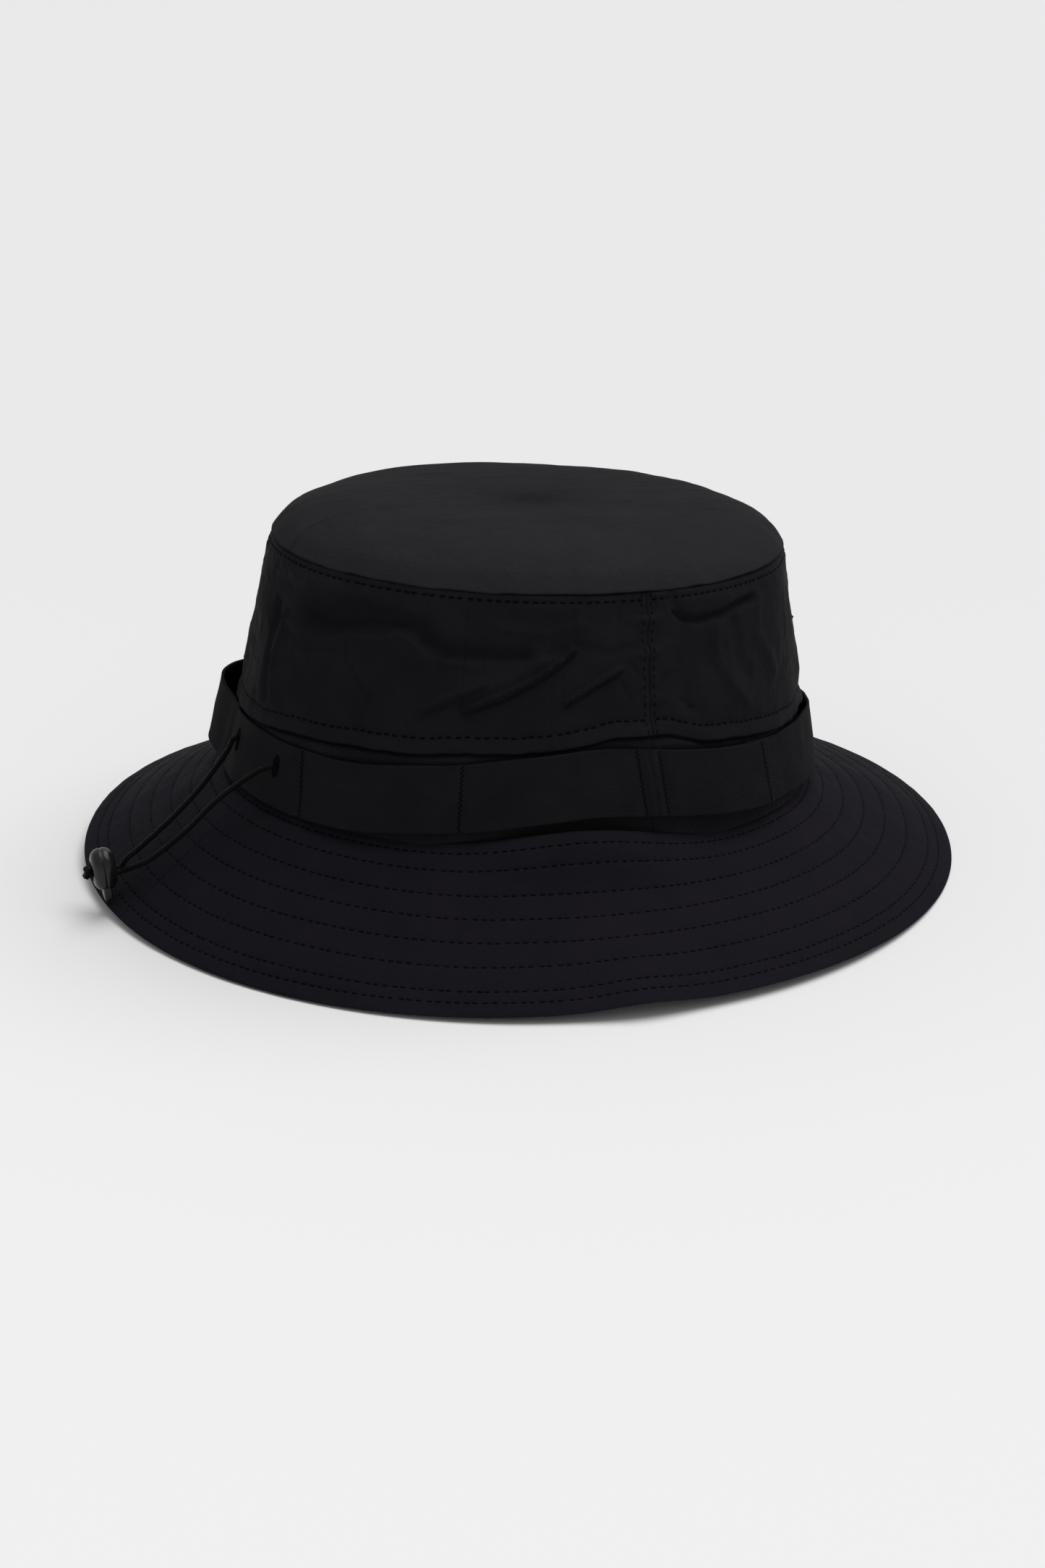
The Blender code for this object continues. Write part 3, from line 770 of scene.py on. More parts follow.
def braid_material(name, dark, light, roughness):
    """Round braid: two families of yarns crossing at a slant round the cord; its colour darkens between the
    yarns, painted shade in the braid's grooves.
    """
    material, tree, shader = start_material(name, roughness, 0.07)
    places = add_node(tree, "TexCoord")
    around, along = waves_of(tree, places.outputs["UV"], 1.0 / BRAID_YARNS, BRAID_PITCH)
    left = math_node(tree, "SINE", math_node(tree, "ADD", around, along))
    right = math_node(tree, "SINE", math_node(tree, "SUBTRACT", around, along))
    yarns = math_node(tree, "MAXIMUM", left, right)
    fuzz = noise_node(tree, places.outputs["Object"], 0.0005, 2.0)
    set_inputs(tree, shader, {
        "Normal": bump(tree, fuzz, 0.00006, bump(tree, yarns, 0.00008)),
        # Painted shade: the colour runs from dark in the grooves between the yarns to light on their tops.
        "Base Color": mix_colours(tree, vary(tree, yarns, 0.0, 1.0, -0.6, 1.0), dark, light),
        "Roughness": vary(tree, fuzz, roughness - 0.06, roughness + 0.06),
        "Sheen Weight": 0.01,
    })
    return material


def solid_material(name, dark, light, roughness, specular, grain, depth, metallic=0.0):
    """Moulded or drawn material: a fine grain, soft scuffs and a slightly uneven gloss."""
    material, tree, shader = start_material(name, roughness, specular)
    body = add_node(tree, "TexCoord").outputs["Object"]
    fine = noise_node(tree, body, grain, 3.0, 0.6)
    scuffs = noise_node(tree, body, grain * 14.0, 4.0, 0.7, 1.2)
    set_inputs(tree, shader, {
        "Normal": bump(tree, fine, depth),
        "Base Color": mix_colours(tree, vary(tree, scuffs), dark, light),
        "Roughness": vary(tree, scuffs, roughness - 0.07, roughness + 0.10),
        "Metallic": metallic,
    })
    return material


def paper_material(name, far, near, roughness, specular):
    """Studio paper: a fine tooth, and painted light falloff that makes it a shade darker away from the
    camera.
    """
    material, tree, shader = start_material(name, roughness, specular)
    body = add_node(tree, "TexCoord").outputs["Object"]
    tooth = noise_node(tree, body, 0.0040, 3.0, 0.6)
    parts = add_node(tree, "SeparateXYZ", {0: body})
    away = math_node(tree, "SUBTRACT", math_node(tree, "MULTIPLY", parts.outputs[1], 0.50),
                     math_node(tree, "MULTIPLY", parts.outputs[0], 0.87))
    # Painted light falloff: the paper's colour darkens away from the camera.
    colour = mix_colours(tree, vary(tree, away, 0.0, 1.0, *FLOOR_LIGHT_FALLOFF), near, far)
    set_inputs(tree, shader, {"Normal": bump(tree, tooth, 0.00002), "Base Color": colour})
    return material


def make_materials():
    nylon_weave = (0.00060, 0.00060)
    return {
        "nylon": cloth_material("black_nylon_cloth", (0.0092, 0.0092, 0.0107), (0.0122, 0.0122, 0.0141),
                                0.50, 0.005, nylon_weave, 0.00004, 0.0060, 0.0010, sheen=0.001),
        # The tip is the wall's nylon painted about twice as light: painted light from above and painted sheen
        # of its grazing view, with its gloss turned down.
        "tip": cloth_material("black_nylon_tip_painted_light", (0.0195, 0.0195, 0.0213), (0.0235, 0.0235, 0.0256),
                              0.46, 0.001, nylon_weave, 0.00004, 0.0045, 0.0011, sheen=0.001),
        "brim": cloth_material("black_nylon_brim", (0.0094, 0.0089, 0.0114), (0.0122, 0.0108, 0.0156),
                               0.50, 0.004, nylon_weave, 0.00004, 0.0050, 0.0007, sheen=0.001),
        "webbing": cloth_material("black_webbing_weave", (0.0084, 0.0084, 0.0098), (0.0112, 0.0112, 0.0130),
                                  0.62, 0.010, (0.00130, 0.00085), 0.00006, 0.0060, 0.0003, 0.001, ribs=True),
        "tape": cloth_material("black_twill_tape", (0.0060, 0.0060, 0.0066), (0.0100, 0.0100, 0.0108),
                               0.70, 0.05, (0.00090, 0.00070), 0.00010, 0.0040, 0.0002, ribs=True),
        "sweatband": cloth_material("sweatband_knit", (0.0060, 0.0060, 0.0066), (0.0110, 0.0110, 0.0118),
                                    0.75, 0.05, (0.00110, 0.00080), 0.00016, 0.0060, 0.0004, sheen=0.03),
        "felt": cloth_material("interlining_fleece", (0.050, 0.050, 0.052), (0.075, 0.075, 0.077),
                               0.85, 0.05, (0.00140, 0.00130), 0.00003, 0.0020, 0.0005),
        # Black thread, set well darker than the cloth so the rows of stitches read as dark dashes: its own
        # colour and partly painted shade.
        "thread": cloth_material("black_sewing_thread", (0.0014, 0.0014, 0.0018), (0.0030, 0.0030, 0.0038),
                                 0.60, 0.02, (0.00045, 0.00045), 0.00005, 0.0040, 0.0001, ribs=True),
        # The cord's black is its own colour, set darker than the cloth so the strands show dark edges, which
        # is partly painted shade.
        "cord": braid_material("black_cord_braid", (0.0006, 0.0006, 0.0007), (0.0026, 0.0026, 0.0028), 0.34),
        "plastic": solid_material("black_moulded_plastic", (0.0050, 0.0050, 0.0053), (0.0090, 0.0090, 0.0094),
                                  0.27, 0.34, 0.00030, 0.00002),
        "steel": solid_material("drawn_spring_steel", (0.40, 0.40, 0.41), (0.58, 0.58, 0.60),
                                0.28, 0.50, 0.00020, 0.00001, metallic=1.0),
        "floor": paper_material("pale_studio_floor", FLOOR_FAR, FLOOR_NEAR, 0.85, 0.10),
    }


# ---- camera, light and floor

def build_studio(materials):
    scene = bpy.context.scene
    camera = bpy.data.cameras.new("camera")
    camera.lens = CAMERA_LENS
    camera.sensor_width = SENSOR
    camera.clip_end = 100.0
    eye = add_object("camera", camera)
    turned = Matrix.Rotation(math.radians(CAMERA_AZIMUTH), 4, "Z")
    tipped = Matrix.Rotation(math.radians(90.0 - CAMERA_ELEVATION), 4, "X")
    rolled = Matrix.Rotation(math.radians(CAMERA_ROLL), 4, "Z")
    eye.matrix_world = Matrix.Translation(CAMERA_PLACE) @ turned @ tipped @ rolled
    scene.camera = eye

    sun = bpy.data.lights.new("soft_sun", "SUN")
    sun.energy = SUN_STRENGTH
    sun.angle = math.radians(SUN_ANGLE)
    lamp = add_object("soft_sun", sun)
    lamp.rotation_euler = Vector(SUN_TOWARDS).to_track_quat("Z", "Y").to_euler()
    world = bpy.data.worlds.new("studio")
    world.use_nodes = True
    tree = world.node_tree
    seen = add_node(tree, "LightPath").outputs["Is Camera Ray"]
    levels = {"Value": seen, "To Min": SKY_STRENGTH, "To Max": BACKDROP_STRENGTH}
    strength = add_node(tree, "MapRange", levels)
    set_inputs(tree, tree.nodes["Background"], {"Color": SKY_COLOUR, "Strength": strength.outputs[0]})
    scene.world = world
    scene.view_settings.view_transform = "Standard"

    half = FLOOR_HALF
    corners = [(-half, -half, 0.0), (half, -half, 0.0), (half, half, 0.0), (-half, half, 0.0)]
    floor = new_object("studio_floor", corners, [(0, 1, 2, 3)], materials["floor"], smooth=False)


# ---- drawcord and cord lock

def lock_matrix():
    spin = Matrix.Rotation(math.radians(LOCK_TURN), 4, "Z")
    lean = Matrix.Rotation(math.radians(LOCK_LEAN), 4, "X")
    return Matrix.Translation(LOCK_CENTRE) @ spin @ lean


def braid_radius(angle, along):
    """The cord's surface: raised yarns each way round it."""
    turn = along * 2.0 * np.pi / BRAID_PITCH
    around = BRAID_YARNS * angle
    yarns = np.maximum(np.sin(around + turn), np.sin(around - turn))
    return CORD_RADIUS * (0.955 + 0.045 * yarns)


def build_strands(material):
    lock = lock_matrix()
    for side, sign, route in (("left", -1, ROUTE_LEFT), ("right", 1, ROUTE_RIGHT)):
        turn = np.array(sign * SLIT_TURN)
        start = wall_point(turn, CORD_LEVEL, 0.0022)
        leaving = wall_point(turn, CORD_LEVEL, 0.0038)
        mouth = (LOCK_DEPTH / 2 + 0.0020, -CORD_DROP - MOUTH_DROP[side])
        stops = (mouth, (0.0, -CORD_DROP), (STRAND_END, -CORD_DROP))
        inside = [np.array(lock @ Vector((sign * CORD_SPREAD, y, z))) for y, z in stops]
        path = smooth_route([start, leaving, *route, *inside], 0.0003)
        points, faces, uv = tube_mesh(path, braid_radius, 24)
        name = "drawcord_strand_%s_braid" % side
        strand = new_object(name, points, faces, material, uv)
        length = float(walked(path)[-1])
        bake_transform(strand)
        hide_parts("drawcord_strand_" + side)


def build_knot(material):
    """An overhand knot of both strands behind the lock, with two short sealed ends."""
    lock = lock_matrix()
    centre = lock @ Matrix.Translation((0.0, -LOCK_THICK / 2 - KNOT_PROUD, 0.0))
    t = np.linspace(0.0, 2.0 * np.pi, 97)[:-1]
    across = np.sin(t) + 2.0 * np.sin(2.0 * t)
    over = np.cos(t) - 2.0 * np.cos(2.0 * t)
    knot = np.stack([across, -1.35 * np.sin(3.0 * t), over], -1)
    knot = knot * (0.62 * KNOT_RADIUS / 3.0) * np.array([1.0, 1.1, 1.0])
    parts = [tube_mesh(knot, KNOT_CORD, 14, closed=True)]
    for side in (-1, 1):
        tail = np.array(KNOT_TAIL) * np.array([side, 1, 1])
        parts.append(tube_mesh(smooth_route(tail, 0.0003), KNOT_CORD, 14))
    all_points, all_faces, all_uv = [], [], []
    for points, faces, uv in parts:
        base = sum(len(p) for p in all_points)
        all_faces += [tuple(v + base for v in face) for face in faces]
        all_points.append(points)
        all_uv.append(uv)
    all_points, all_uv = np.concatenate(all_points), np.concatenate(all_uv)
    obj = new_object("drawcord_knot_tied", all_points, all_faces, material, all_uv)
    obj.data.transform(centre)
    attach(obj, "cord_lock", "drawcord_knot")
    return obj


def oval_outline(half, power, centre, count):
    """Points (x, z) on a superellipse; power 2 is an oval and a high power a rounded box."""
    angle = ring_turns(count, 2.0 * np.pi)
    cos, sin = np.cos(angle), np.sin(angle)
    x = centre[0] + half[0] * np.sign(cos) * np.abs(cos) ** (2.0 / power)
    z = centre[1] + half[1] * np.sign(sin) * np.abs(sin) ** (2.0 / power)
    return np.stack([x, z], -1)


def slotted_block(name, half, power, centre, depth, edge, slot, slot_centre, material, rim=0.0, waist=0.0):
    """A moulded block with a rounded outline, a slot through it along Y, raised rims and a waist round it."""
    count = 96
    outer = oval_outline(half, power, centre, count)
    inner = oval_outline(slot, 5.0, slot_centre, count)
    middle = np.array(centre)
    flat = depth / 2 - edge
    steps = [(waist * (1.0 - float(smooth_step(share))), share * flat) for share in (0.0, 0.3, 0.6, 0.85)]
    for angle in np.radians(np.linspace(0.0, 90.0, 9)):
        steps.append((edge * (1.0 - math.cos(angle)), flat + edge * math.sin(angle)))
    profile = [(middle + (outer - middle) * (1.0 - shrink / np.array(half)), y) for shrink, y in steps]
    face = profile[-1][0]
    for share, sunk in ((0.18, 0.2), (0.30, 0.9), (0.45, 1.0), (0.70, 1.0), (0.86, 0.9), (0.96, 0.55)):
        profile.append((face + (inner - face) * share, depth / 2 - rim * sunk))
    profile.append((inner, depth / 2 - rim * 0.9 - 0.0003))
    half_rings = [np.stack([p[:, 0], np.full(count, y), p[:, 1]], -1) for p, y in profile]
    back = [ring * np.array([1.0, -1.0, 1.0]) for ring in half_rings[1:]]
    all_rings = [*back[::-1], *half_rings]
    points = np.array(all_rings)
    obj = new_object(name, points, grid_faces(len(points), count, True, looped=True), material)
    face_outwards(obj)
    return obj


def face_outwards(obj):
    """Turn all faces of a closed mesh outwards."""
    shape = bmesh.new()
    shape.from_mesh(obj.data)
    bmesh.ops.recalc_face_normals(shape, faces=shape.faces)
    shape.to_mesh(obj.data)
    shape.free()


def rounded_cutter(name, size, middle):
    """A box with rounded edges that another piece is hollowed with."""
    mesh = bpy.data.meshes.new(name)
    shape = bmesh.new()
    bmesh.ops.create_cube(shape, size=1.0, matrix=Matrix.LocRotScale(Vector(middle), None, Vector(size)))
    bmesh.ops.bevel(shape, geom=shape.edges[:], offset=0.0005, segments=3, affect="EDGES", profile=0.5)
    shape.to_mesh(mesh)
    shape.free()
    return add_object(name, mesh)


def hollow(obj, cutter):
    """Cut a hollow and keep only the result."""
    boolean = obj.modifiers.new("Hollow", "BOOLEAN")
    boolean.object = cutter
    bpy.context.view_layer.update()
    result = bpy.data.meshes.new_from_object(obj.evaluated_get(bpy.context.evaluated_depsgraph_get()))
    obj.modifiers.clear()
    obj.data = result
    bpy.data.objects.remove(cutter, do_unlink=True)


def build_lock(materials):
    lock = lock_matrix()
    slot = (LOCK_SLOT[0] / 2, LOCK_SLOT[1] / 2)
    housing = slotted_block("cord_lock_shell", LOCK_HALF, LOCK_ROUNDNESS, (0.0, 0.0), LOCK_THICK, LOCK_EDGE,
                            slot, (0.0, 0.0), materials["plastic"], rim=LOCK_RIM, waist=LOCK_WAIST)
    bottom = -LOCK_HALF[1] - 0.001
    bore = (PLUNGER_SIZE[0] + 2 * GAP, PLUNGER_SIZE[1] + 2 * GAP, BORE_TOP - bottom)
    hollow(housing, rounded_cutter("bore", bore, (0.0, 0.0, (BORE_TOP + bottom) / 2)))
    hollow(housing, rounded_cutter("pocket", POCKET, (0.0, 0.0, POCKET_MIDDLE)))
    low, high = PLUNGER_SPAN
    plunger = slotted_block("cord_lock_button", (PLUNGER_SIZE[0] / 2, (high - low) / 2), 7.0,
                            (0.0, (low + high) / 2), PLUNGER_SIZE[1], 0.0005,
                            slot, (0.0, -PLUNGER_TRAVEL), materials["plastic"])
    moulded = ((housing, "cord_lock", "cord_lock_housing"), (plunger, "lock_button", "cord_lock_plunger"))
    for obj, body, node in moulded:
        obj.data.transform(lock)
        obj.data.shade_smooth()
        obj.data.set_sharp_from_angle(angle=math.radians(42.0))
        attach(obj, body, node)


def build_spring(material):
    """The spring between the button and the top of its pocket, built at one length."""
    lock = lock_matrix()
    low, high = SPRING_SPAN
    angle = np.linspace(0.0, SPRING_TURNS * 2.0 * np.pi, round(SPRING_TURNS * 36) + 1)
    rise = np.linspace(low, high, len(angle))
    path = np.stack([SPRING_RADIUS * np.cos(angle), SPRING_RADIUS * np.sin(angle), rise], -1)
    points, faces, uv = tube_mesh(path, SPRING_WIRE, 10)
    obj = new_object("cord_lock_spring_coil", points, faces, material, uv)
    obj.data.transform(lock)
    attach(obj, "cord_lock", "cord_lock_spring")
    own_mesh(obj)


# ---- crown

def flap_edge(turn):
    return line_height(turn, FLAP_LINE) + relief(turn, 0.0, "flap")


def side_distance(turn):
    """Metres round the wall from the nearer side seam."""
    return (side_turn(turn) - SIDE_SEAM) / 360.0 * GIRTH


def groove(distance, shape):
    """Depth at a distance from the middle of a groove or a ridge."""
    depth, reach = shape
    return depth * bell(distance, reach)


def wall_out(turn, height):
    """How far the crown wall's cloth stands out of the plain cone."""
    top = wall_length(turn) - height
    above = height - flap_edge(turn)
    soft = smooth_step(top / 0.008) * smooth_step((above - 0.002) / 0.012)
    free = smooth_step(top / 0.005) * smooth_step((above - 0.003) / 0.007)
    out = CLOTH + GAP + wall_folds(turn, height) * free
    out = out + soft * relief(turn, height, "wall")
    pucker = cloth_noise(turn, 0.3, 0.0045, 15) + 0.6 * cloth_noise(turn, 0.0, 0.009, 16)
    out = out + groove(top - TIP_STITCH_DROP - 0.003, TIP_ROW_PUCKERS) * pucker
    out = out + groove(above - FLAP_STITCH_RISE - 0.002, FLAP_ROW_PUCKERS) * pucker
    out = out - groove(top - TIP_STITCH_DROP, TIP_ROW_GROOVE)
    out = out - groove(above - FLAP_STITCH_RISE, FLAP_ROW_GROOVE)
    depth, start, reach = TOP_ROLL
    out = out - depth * np.exp(-np.maximum(top - start, 0.0) / reach)
    ruffle = cloth_noise(turn, 0.7, 0.016, 17) + 0.5 * cloth_noise(turn, 0.0, 0.006, 18)
    loose = 1.0 - smooth_step(above / 0.006)
    out = out + loose * (FLAP_STAND[0] + FLAP_STAND[1] * ruffle)
    side = side_distance(turn)
    across = cloth_noise(40.0, height, 0.0055, 19) + 0.5 * cloth_noise(0.0, height, 0.0028, 20)
    out = out + groove(side, SIDE_SEAM_PUCKERS) * across * soft - groove(side, SIDE_SEAM_GROOVE)
    over_tip_tape = smooth_step((TAPE_REACH[0] - top) / 0.001)
    over_side_tape = smooth_step((TAPE_REACH[1] - np.abs(side)) / 0.001)
    taped = np.maximum(over_tip_tape, over_side_tape) * smooth_step((top - 0.0026) / 0.0006)
    return np.maximum(out, TAPED_OUT - 0.01 * (1.0 - taped))


def wall_surface(turn, height):
    return wall_point(turn, height, wall_out(turn, height))


def seam_gap_turns():
    gap = math.degrees(GAP / 2 / SEAM_HALF[0])
    return (SIDE_SEAM + gap, 360.0 - SIDE_SEAM - gap), (-SIDE_SEAM + gap, SIDE_SEAM - gap)


def cut_size(points, closed):
    """Width, length and area of a grid of places before any folds were put in it."""
    ring = np.concatenate([points, points[:, :1]], axis=1) if closed else points
    along = np.linalg.norm(np.diff(ring, axis=1), axis=2)
    across = np.linalg.norm(np.diff(ring, axis=0), axis=2)
    length = float(along.sum(axis=1).max())
    width = float(across.sum(axis=0).max())
    area = float((along[1:] + along[:-1]).sum() / 2 * across.mean())
    return (round(width, 4), round(length, 4)), min(round(area, 5), width * length)


def wall_piece(materials, kind, node, turn, height, out, plain=None, closed=False, keep=None):
    """Cloth along the crown wall; plain is how far out it was before any relief, for its cut size."""
    points = wall_point(turn, height, out)
    flat, area = (None, None) if plain is None else cut_size(wall_point(turn, height, plain), closed)
    cloth_piece(materials, kind, node, points, closed, keep)


def build_walls(materials):
    """The crown's upper side panels; the back one's ends run a little under the front one's."""
    lap_turn, tuck, lap_depth = UNDERLAP
    for side, (start, end) in zip(("front", "back"), seam_gap_turns()):
        lap = tuck if side == "back" else 0.0
        turns = span(start - lap, end + lap, 0.50)
        shares = np.linspace(0.0, 1.0, 76)
        turn = np.broadcast_to(turns, (len(shares), len(turns)))
        low = flap_edge(turns)
        high = wall_length(turns) - 0.0002
        height = low + (high - low) * shares[:, None]
        out = wall_out(turn, height)
        if side == "back":
            out = out - lap_depth * smooth_step((np.abs(turn) - lap_turn) / tuck)
        wall_piece(materials, "nylon", "crown_wall_" + side, turn, height, out, 0.0 * height)


def base_out(turn, height):
    low = smooth_step(height / 0.004)
    shadowed = smooth_step(height / 0.003) * smooth_step((0.026 - height) / 0.006)
    band_top = line_height(turn, BAND_LINE) + BAND_HEIGHT / 2
    flap = line_height(turn, FLAP_LINE)
    half = np.maximum((flap - band_top) / 2, 0.0001) + 0.001
    bulge = 0.0010 * bell(height - (band_top + flap) / 2, half) * np.minimum(half / 0.003, 1.0)
    crease = groove(height - flap_edge(turn) + 0.0002, UNDER_FLAP_CREASE)
    return low * relief(turn, height, "base") - 0.0002 - 0.0002 * shadowed + bulge - crease


def slit_hole(turn, height):
    """True where one of the two cord slits opens the cloth."""
    hole = np.zeros(np.shape(turn), bool)
    for middle in (-SLIT_TURN, SLIT_TURN):
        across = (turn - middle) / 360.0 * SEAM_GIRTH / SLIT_HALF[0]
        hole |= across ** 2 + ((height - CORD_LEVEL) / SLIT_HALF[1]) ** 2 < 1.0
    return hole


def build_bases(materials):
    for side, (start, end) in zip(("front", "back"), seam_gap_turns()):
        turns = span(start - 0.1, end + 0.1, 0.5)
        heights = np.linspace(*BASE_SPAN, 84)
        height, turn = np.meshgrid(heights, turns, indexing="ij")
        out = base_out(turn, height)
        keep = ~slit_hole(cell_middles(turn), cell_middles(height))
        wall_piece(materials, "nylon", "crown_base_" + side, turn, height, out, 0.0 * height, keep=keep)


def tip_up(turn, reach):
    """Lift of the tip's cloth off its plain dome: a full edge that rolls over, puckers and crinkles."""
    inward = (1.0 - reach) * 0.088
    x = reach * TIP_HALF[0] * np.cos(np.radians(turn))
    y = reach * TIP_HALF[1] * np.sin(np.radians(turn))
    pucker = cloth_noise(turn, 0.0, 0.0055, 41) + 0.6 * cloth_noise(turn, inward, 0.010, 42)
    lift = 0.0004 * pucker * bell(inward - 0.004, 0.005)
    streak = noise(x / 0.016 + 31.0, y / 0.0045 + 17.0, 43)
    streak = streak + 0.5 * noise(x / 0.008 + 3.0, y / 0.0022 + 7.0, 44)
    soft = smooth_step(inward / 0.010)
    uneven = 0.25 * np.cos(np.radians(turn - 40.0)) + 0.15 * cloth_noise(turn, 0.0, 0.030, 46)
    roll = TIP_ROLL * (0.80 + uneven)
    lift = lift - roll * np.clip(1.0 - inward / TIP_SHOULDER, 0.0, 1.0) ** 2
    lift = lift + soft * (0.00016 * streak + 0.0009 * noise(x / 0.035 + 9.0, y / 0.030 + 5.0, 45))
    return lift


def tip_surface(turn, reach):
    return tip_point(turn, reach, tip_up(turn, reach))


def build_tip(materials):
    turns = ring_turns(540)
    reaches = np.concatenate([[0.990, 1.001], 1.0 - np.linspace(0.0, 1.0, 90)[1:-1] ** 1.25])
    reach, turn = np.meshgrid(reaches, turns, indexing="ij")
    points = tip_surface(turn, reach)
    points[0] = points[0] - np.array([0.0, 0.0, 0.0016])
    flat = [2 * (half + TIP_ALLOWANCE) for half in TIP_HALF]
    flat = (round(flat[0], 4), round(flat[1], 4))
    cloth_piece(materials, "tip", "crown_tip", points, True, cap=True)


# ---- brim

def brim_lift(turn, along):
    """Shape that all the brim's layers share: soft waves, and a hump where it meets the side of the crown."""
    inner = smooth_step(along / 0.010)
    outer = smooth_step((BRIM_WIDTH - along) / 0.012)
    lift = inner * relief(turn, along, "brim") * (0.35 + 0.65 * outer)
    side = side_turn(turn)
    middle, width, rise = SIDE_HUMP
    hump = bell(side - middle, width) * bell(np.maximum(along, 0.0), SIDE_HUMP_REACH)
    lift = lift + rise * hump
    middle, width, rise = RIM_SWELL
    away = (turn + 180.0) % 360.0 - (180.0 + middle)
    return lift + rise * (smooth_step((along - 0.030) / 0.028) * bell(away, width))


def quilting(turn, along):
    """Grooves at the rows of stitches and full channels between them, with little puckers."""
    full = 0.0 * turn
    rows = (-0.004, *BRIM_ROWS, BRIM_WIDTH + 0.001)
    for low, high in zip(rows, rows[1:]):
        share = np.clip((along - low) / (high - low), 0.0, 1.0)
        width = min((high - low) / 0.009, 1.0)
        pull = cloth_noise(turn, low * 300.0, 0.0048, 53) + 0.7 * cloth_noise(turn, along, 0.009, 54, 1.3)
        full = full + np.sin(np.pi * share) ** 0.7 * width * (CHANNEL_STAND[0] + CHANNEL_STAND[1] * pull)
    for row in BRIM_ROWS:
        full = full - groove(along - row, BRIM_ROW_GROOVE)
    return full + 0.00010 * crinkle(turn, along, 0.0045, 55, 1.3)


def on_floor(points):
    """Keep a layer from going under the floor."""
    points[..., 2] = np.maximum(points[..., 2], 0.0001)
    return points


def brim_surface(turn, along):
    return on_floor(brim_point(turn, along, brim_lift(turn, along) + quilting(turn, along) - 0.0003))


def under_surface(turn, along):
    back = np.clip((BRIM_WIDTH - 0.0012 - along) / 0.0028, 0.0, 1.0)
    depth = BRIM_CLOTH + GAP + (BRIM_CLOTH + 2 * GAP) * smooth_step(back)
    up = brim_lift(turn, along) - 0.5 * quilting(turn, along) - depth
    return on_floor(brim_point(turn, along, up))


def brim_alongs():
    """Distances of the brim's mesh rows, from the rim inwards: close together at each row of stitches."""
    places = [BRIM_WIDTH - 0.0002, -BRIM_TUCK]
    for low, high in zip((-BRIM_TUCK, *BRIM_ROWS), (*BRIM_ROWS, BRIM_WIDTH - 0.0002)):
        places += list(np.linspace(low + 0.0013, high - 0.0013, max(round((high - low) / 0.0013), 2)))
    for row in BRIM_ROWS:
        places += [row + step for step in (-0.0009, -0.0006, -0.0003, 0.0, 0.0003, 0.0006, 0.0009)]
    places = np.unique(np.round([p for p in places if -BRIM_TUCK <= p <= BRIM_WIDTH - 0.0002], 6))
    return places[::-1]


def build_brim(materials):
    turns = ring_turns(900)
    along, turn = np.meshgrid(brim_alongs(), turns, indexing="ij")
    rolled = []
    for inset, up in RIM_FOLD:
        at = np.full(len(turns), BRIM_WIDTH - inset)
        rolled.append(brim_point(turns, at, brim_lift(turns, at) + up))
    top = np.concatenate([on_floor(np.array(rolled)), brim_surface(turn, along)])
    plain = brim_point(turn, along, 0.0 * along)
    flat = tuple(round(float(np.ptp(plain[0, :, k])), 4) for k in (0, 1))
    under = under_surface(turn, along - 0.0010)[::-1]

    alongs = np.linspace(BRIM_WIDTH - 0.0045, -BRIM_TUCK, 60)
    along, turn = np.meshgrid(alongs, turns[::2], indexing="ij")
    felt = brim_point(turn, along, brim_lift(turn, along) - FELT_DEPTH)
    for kind, node, points in (("brim", "brim_top", top), ("brim", "brim_under", under),
                               ("felt", "brim_interlining", felt)):
        cloth_piece(materials, kind, node, points, True)


# ---- webbing

def tack_turn(top, bottom, share):
    """A tack's turn at a share of the webbing's height; some lean."""
    return top + (bottom - top) * (0.5 - share)


def band_dents(turn, share):
    """The webbing's own relief: pulled in at its tacks, thick at its edges, slightly wavy."""
    dent = 0.0 * turn
    side = side_turn(turn)
    for top, bottom in TACKS:
        gap = side - tack_turn(top, bottom, share)
        dent = dent - 0.00025 * bell(gap, 0.9) + 0.0004 * bell(np.abs(gap) - 2.4, 1.5)
    joint = side - tack_turn(*WEBBING_JOINT, share) - 0.35 * np.cos(np.pi * share)
    dent = dent - 0.0008 * bell(joint, 0.40)
    wave = 0.0004 * cloth_noise(turn, share * 0.010, 0.016, 61)
    wave = wave + 0.0002 * cloth_noise(turn, share * 0.023, 0.006, 62)
    edge = 0.00012 * bell(0.5 - np.abs(share), 0.035)
    return dent + wave + edge + 0.0006 * (0.5 - share)


def band_height(turn, share):
    wander = 0.0003 * cloth_noise(turn, np.sign(share), 0.014, 63)
    return line_height(turn, BAND_LINE) + share * BAND_HEIGHT + wander


def back_band_out(turn):
    lap = LAP_RISE * smooth_step((np.abs(turn) - SIDE_SEAM) / 16.0)
    return BAND_GAP + WEBBING + loop_rise(turn, BACK_LOOPS) + lap


def front_band_out(turn):
    return BAND_GAP + WEBBING + loop_rise(turn, FRONT_LOOPS)


def band_surface(out):
    def surface(turn, share):
        stand = np.maximum(out(turn) + band_dents(turn, share), BAND_GAP + WEBBING - 0.0002)
        return wall_point(turn, band_height(turn, share), stand)
    return surface


def build_band(materials):
    start = BAND_END - BAND_LAP
    for side, ends, out in (("back", (-BAND_END, BAND_END), back_band_out),
                            ("front", (start, 360.0 - start), front_band_out)):
        turns = span(*ends, 0.3)
        shares = np.linspace(-0.5, 0.5, 31)
        share, turn = np.meshgrid(shares, turns, indexing="ij")
        points = band_surface(out)(turn, share)
        middle = cell_middles(turn)
        keep = ~slit_hole(middle, band_height(middle, cell_middles(share)))
        (_, length), area = cut_size(points, False)
        area = min(area, BAND_HEIGHT * length)
        cloth_piece(materials, "webbing", "hatband_" + side, points, False, keep)


# ---- inside

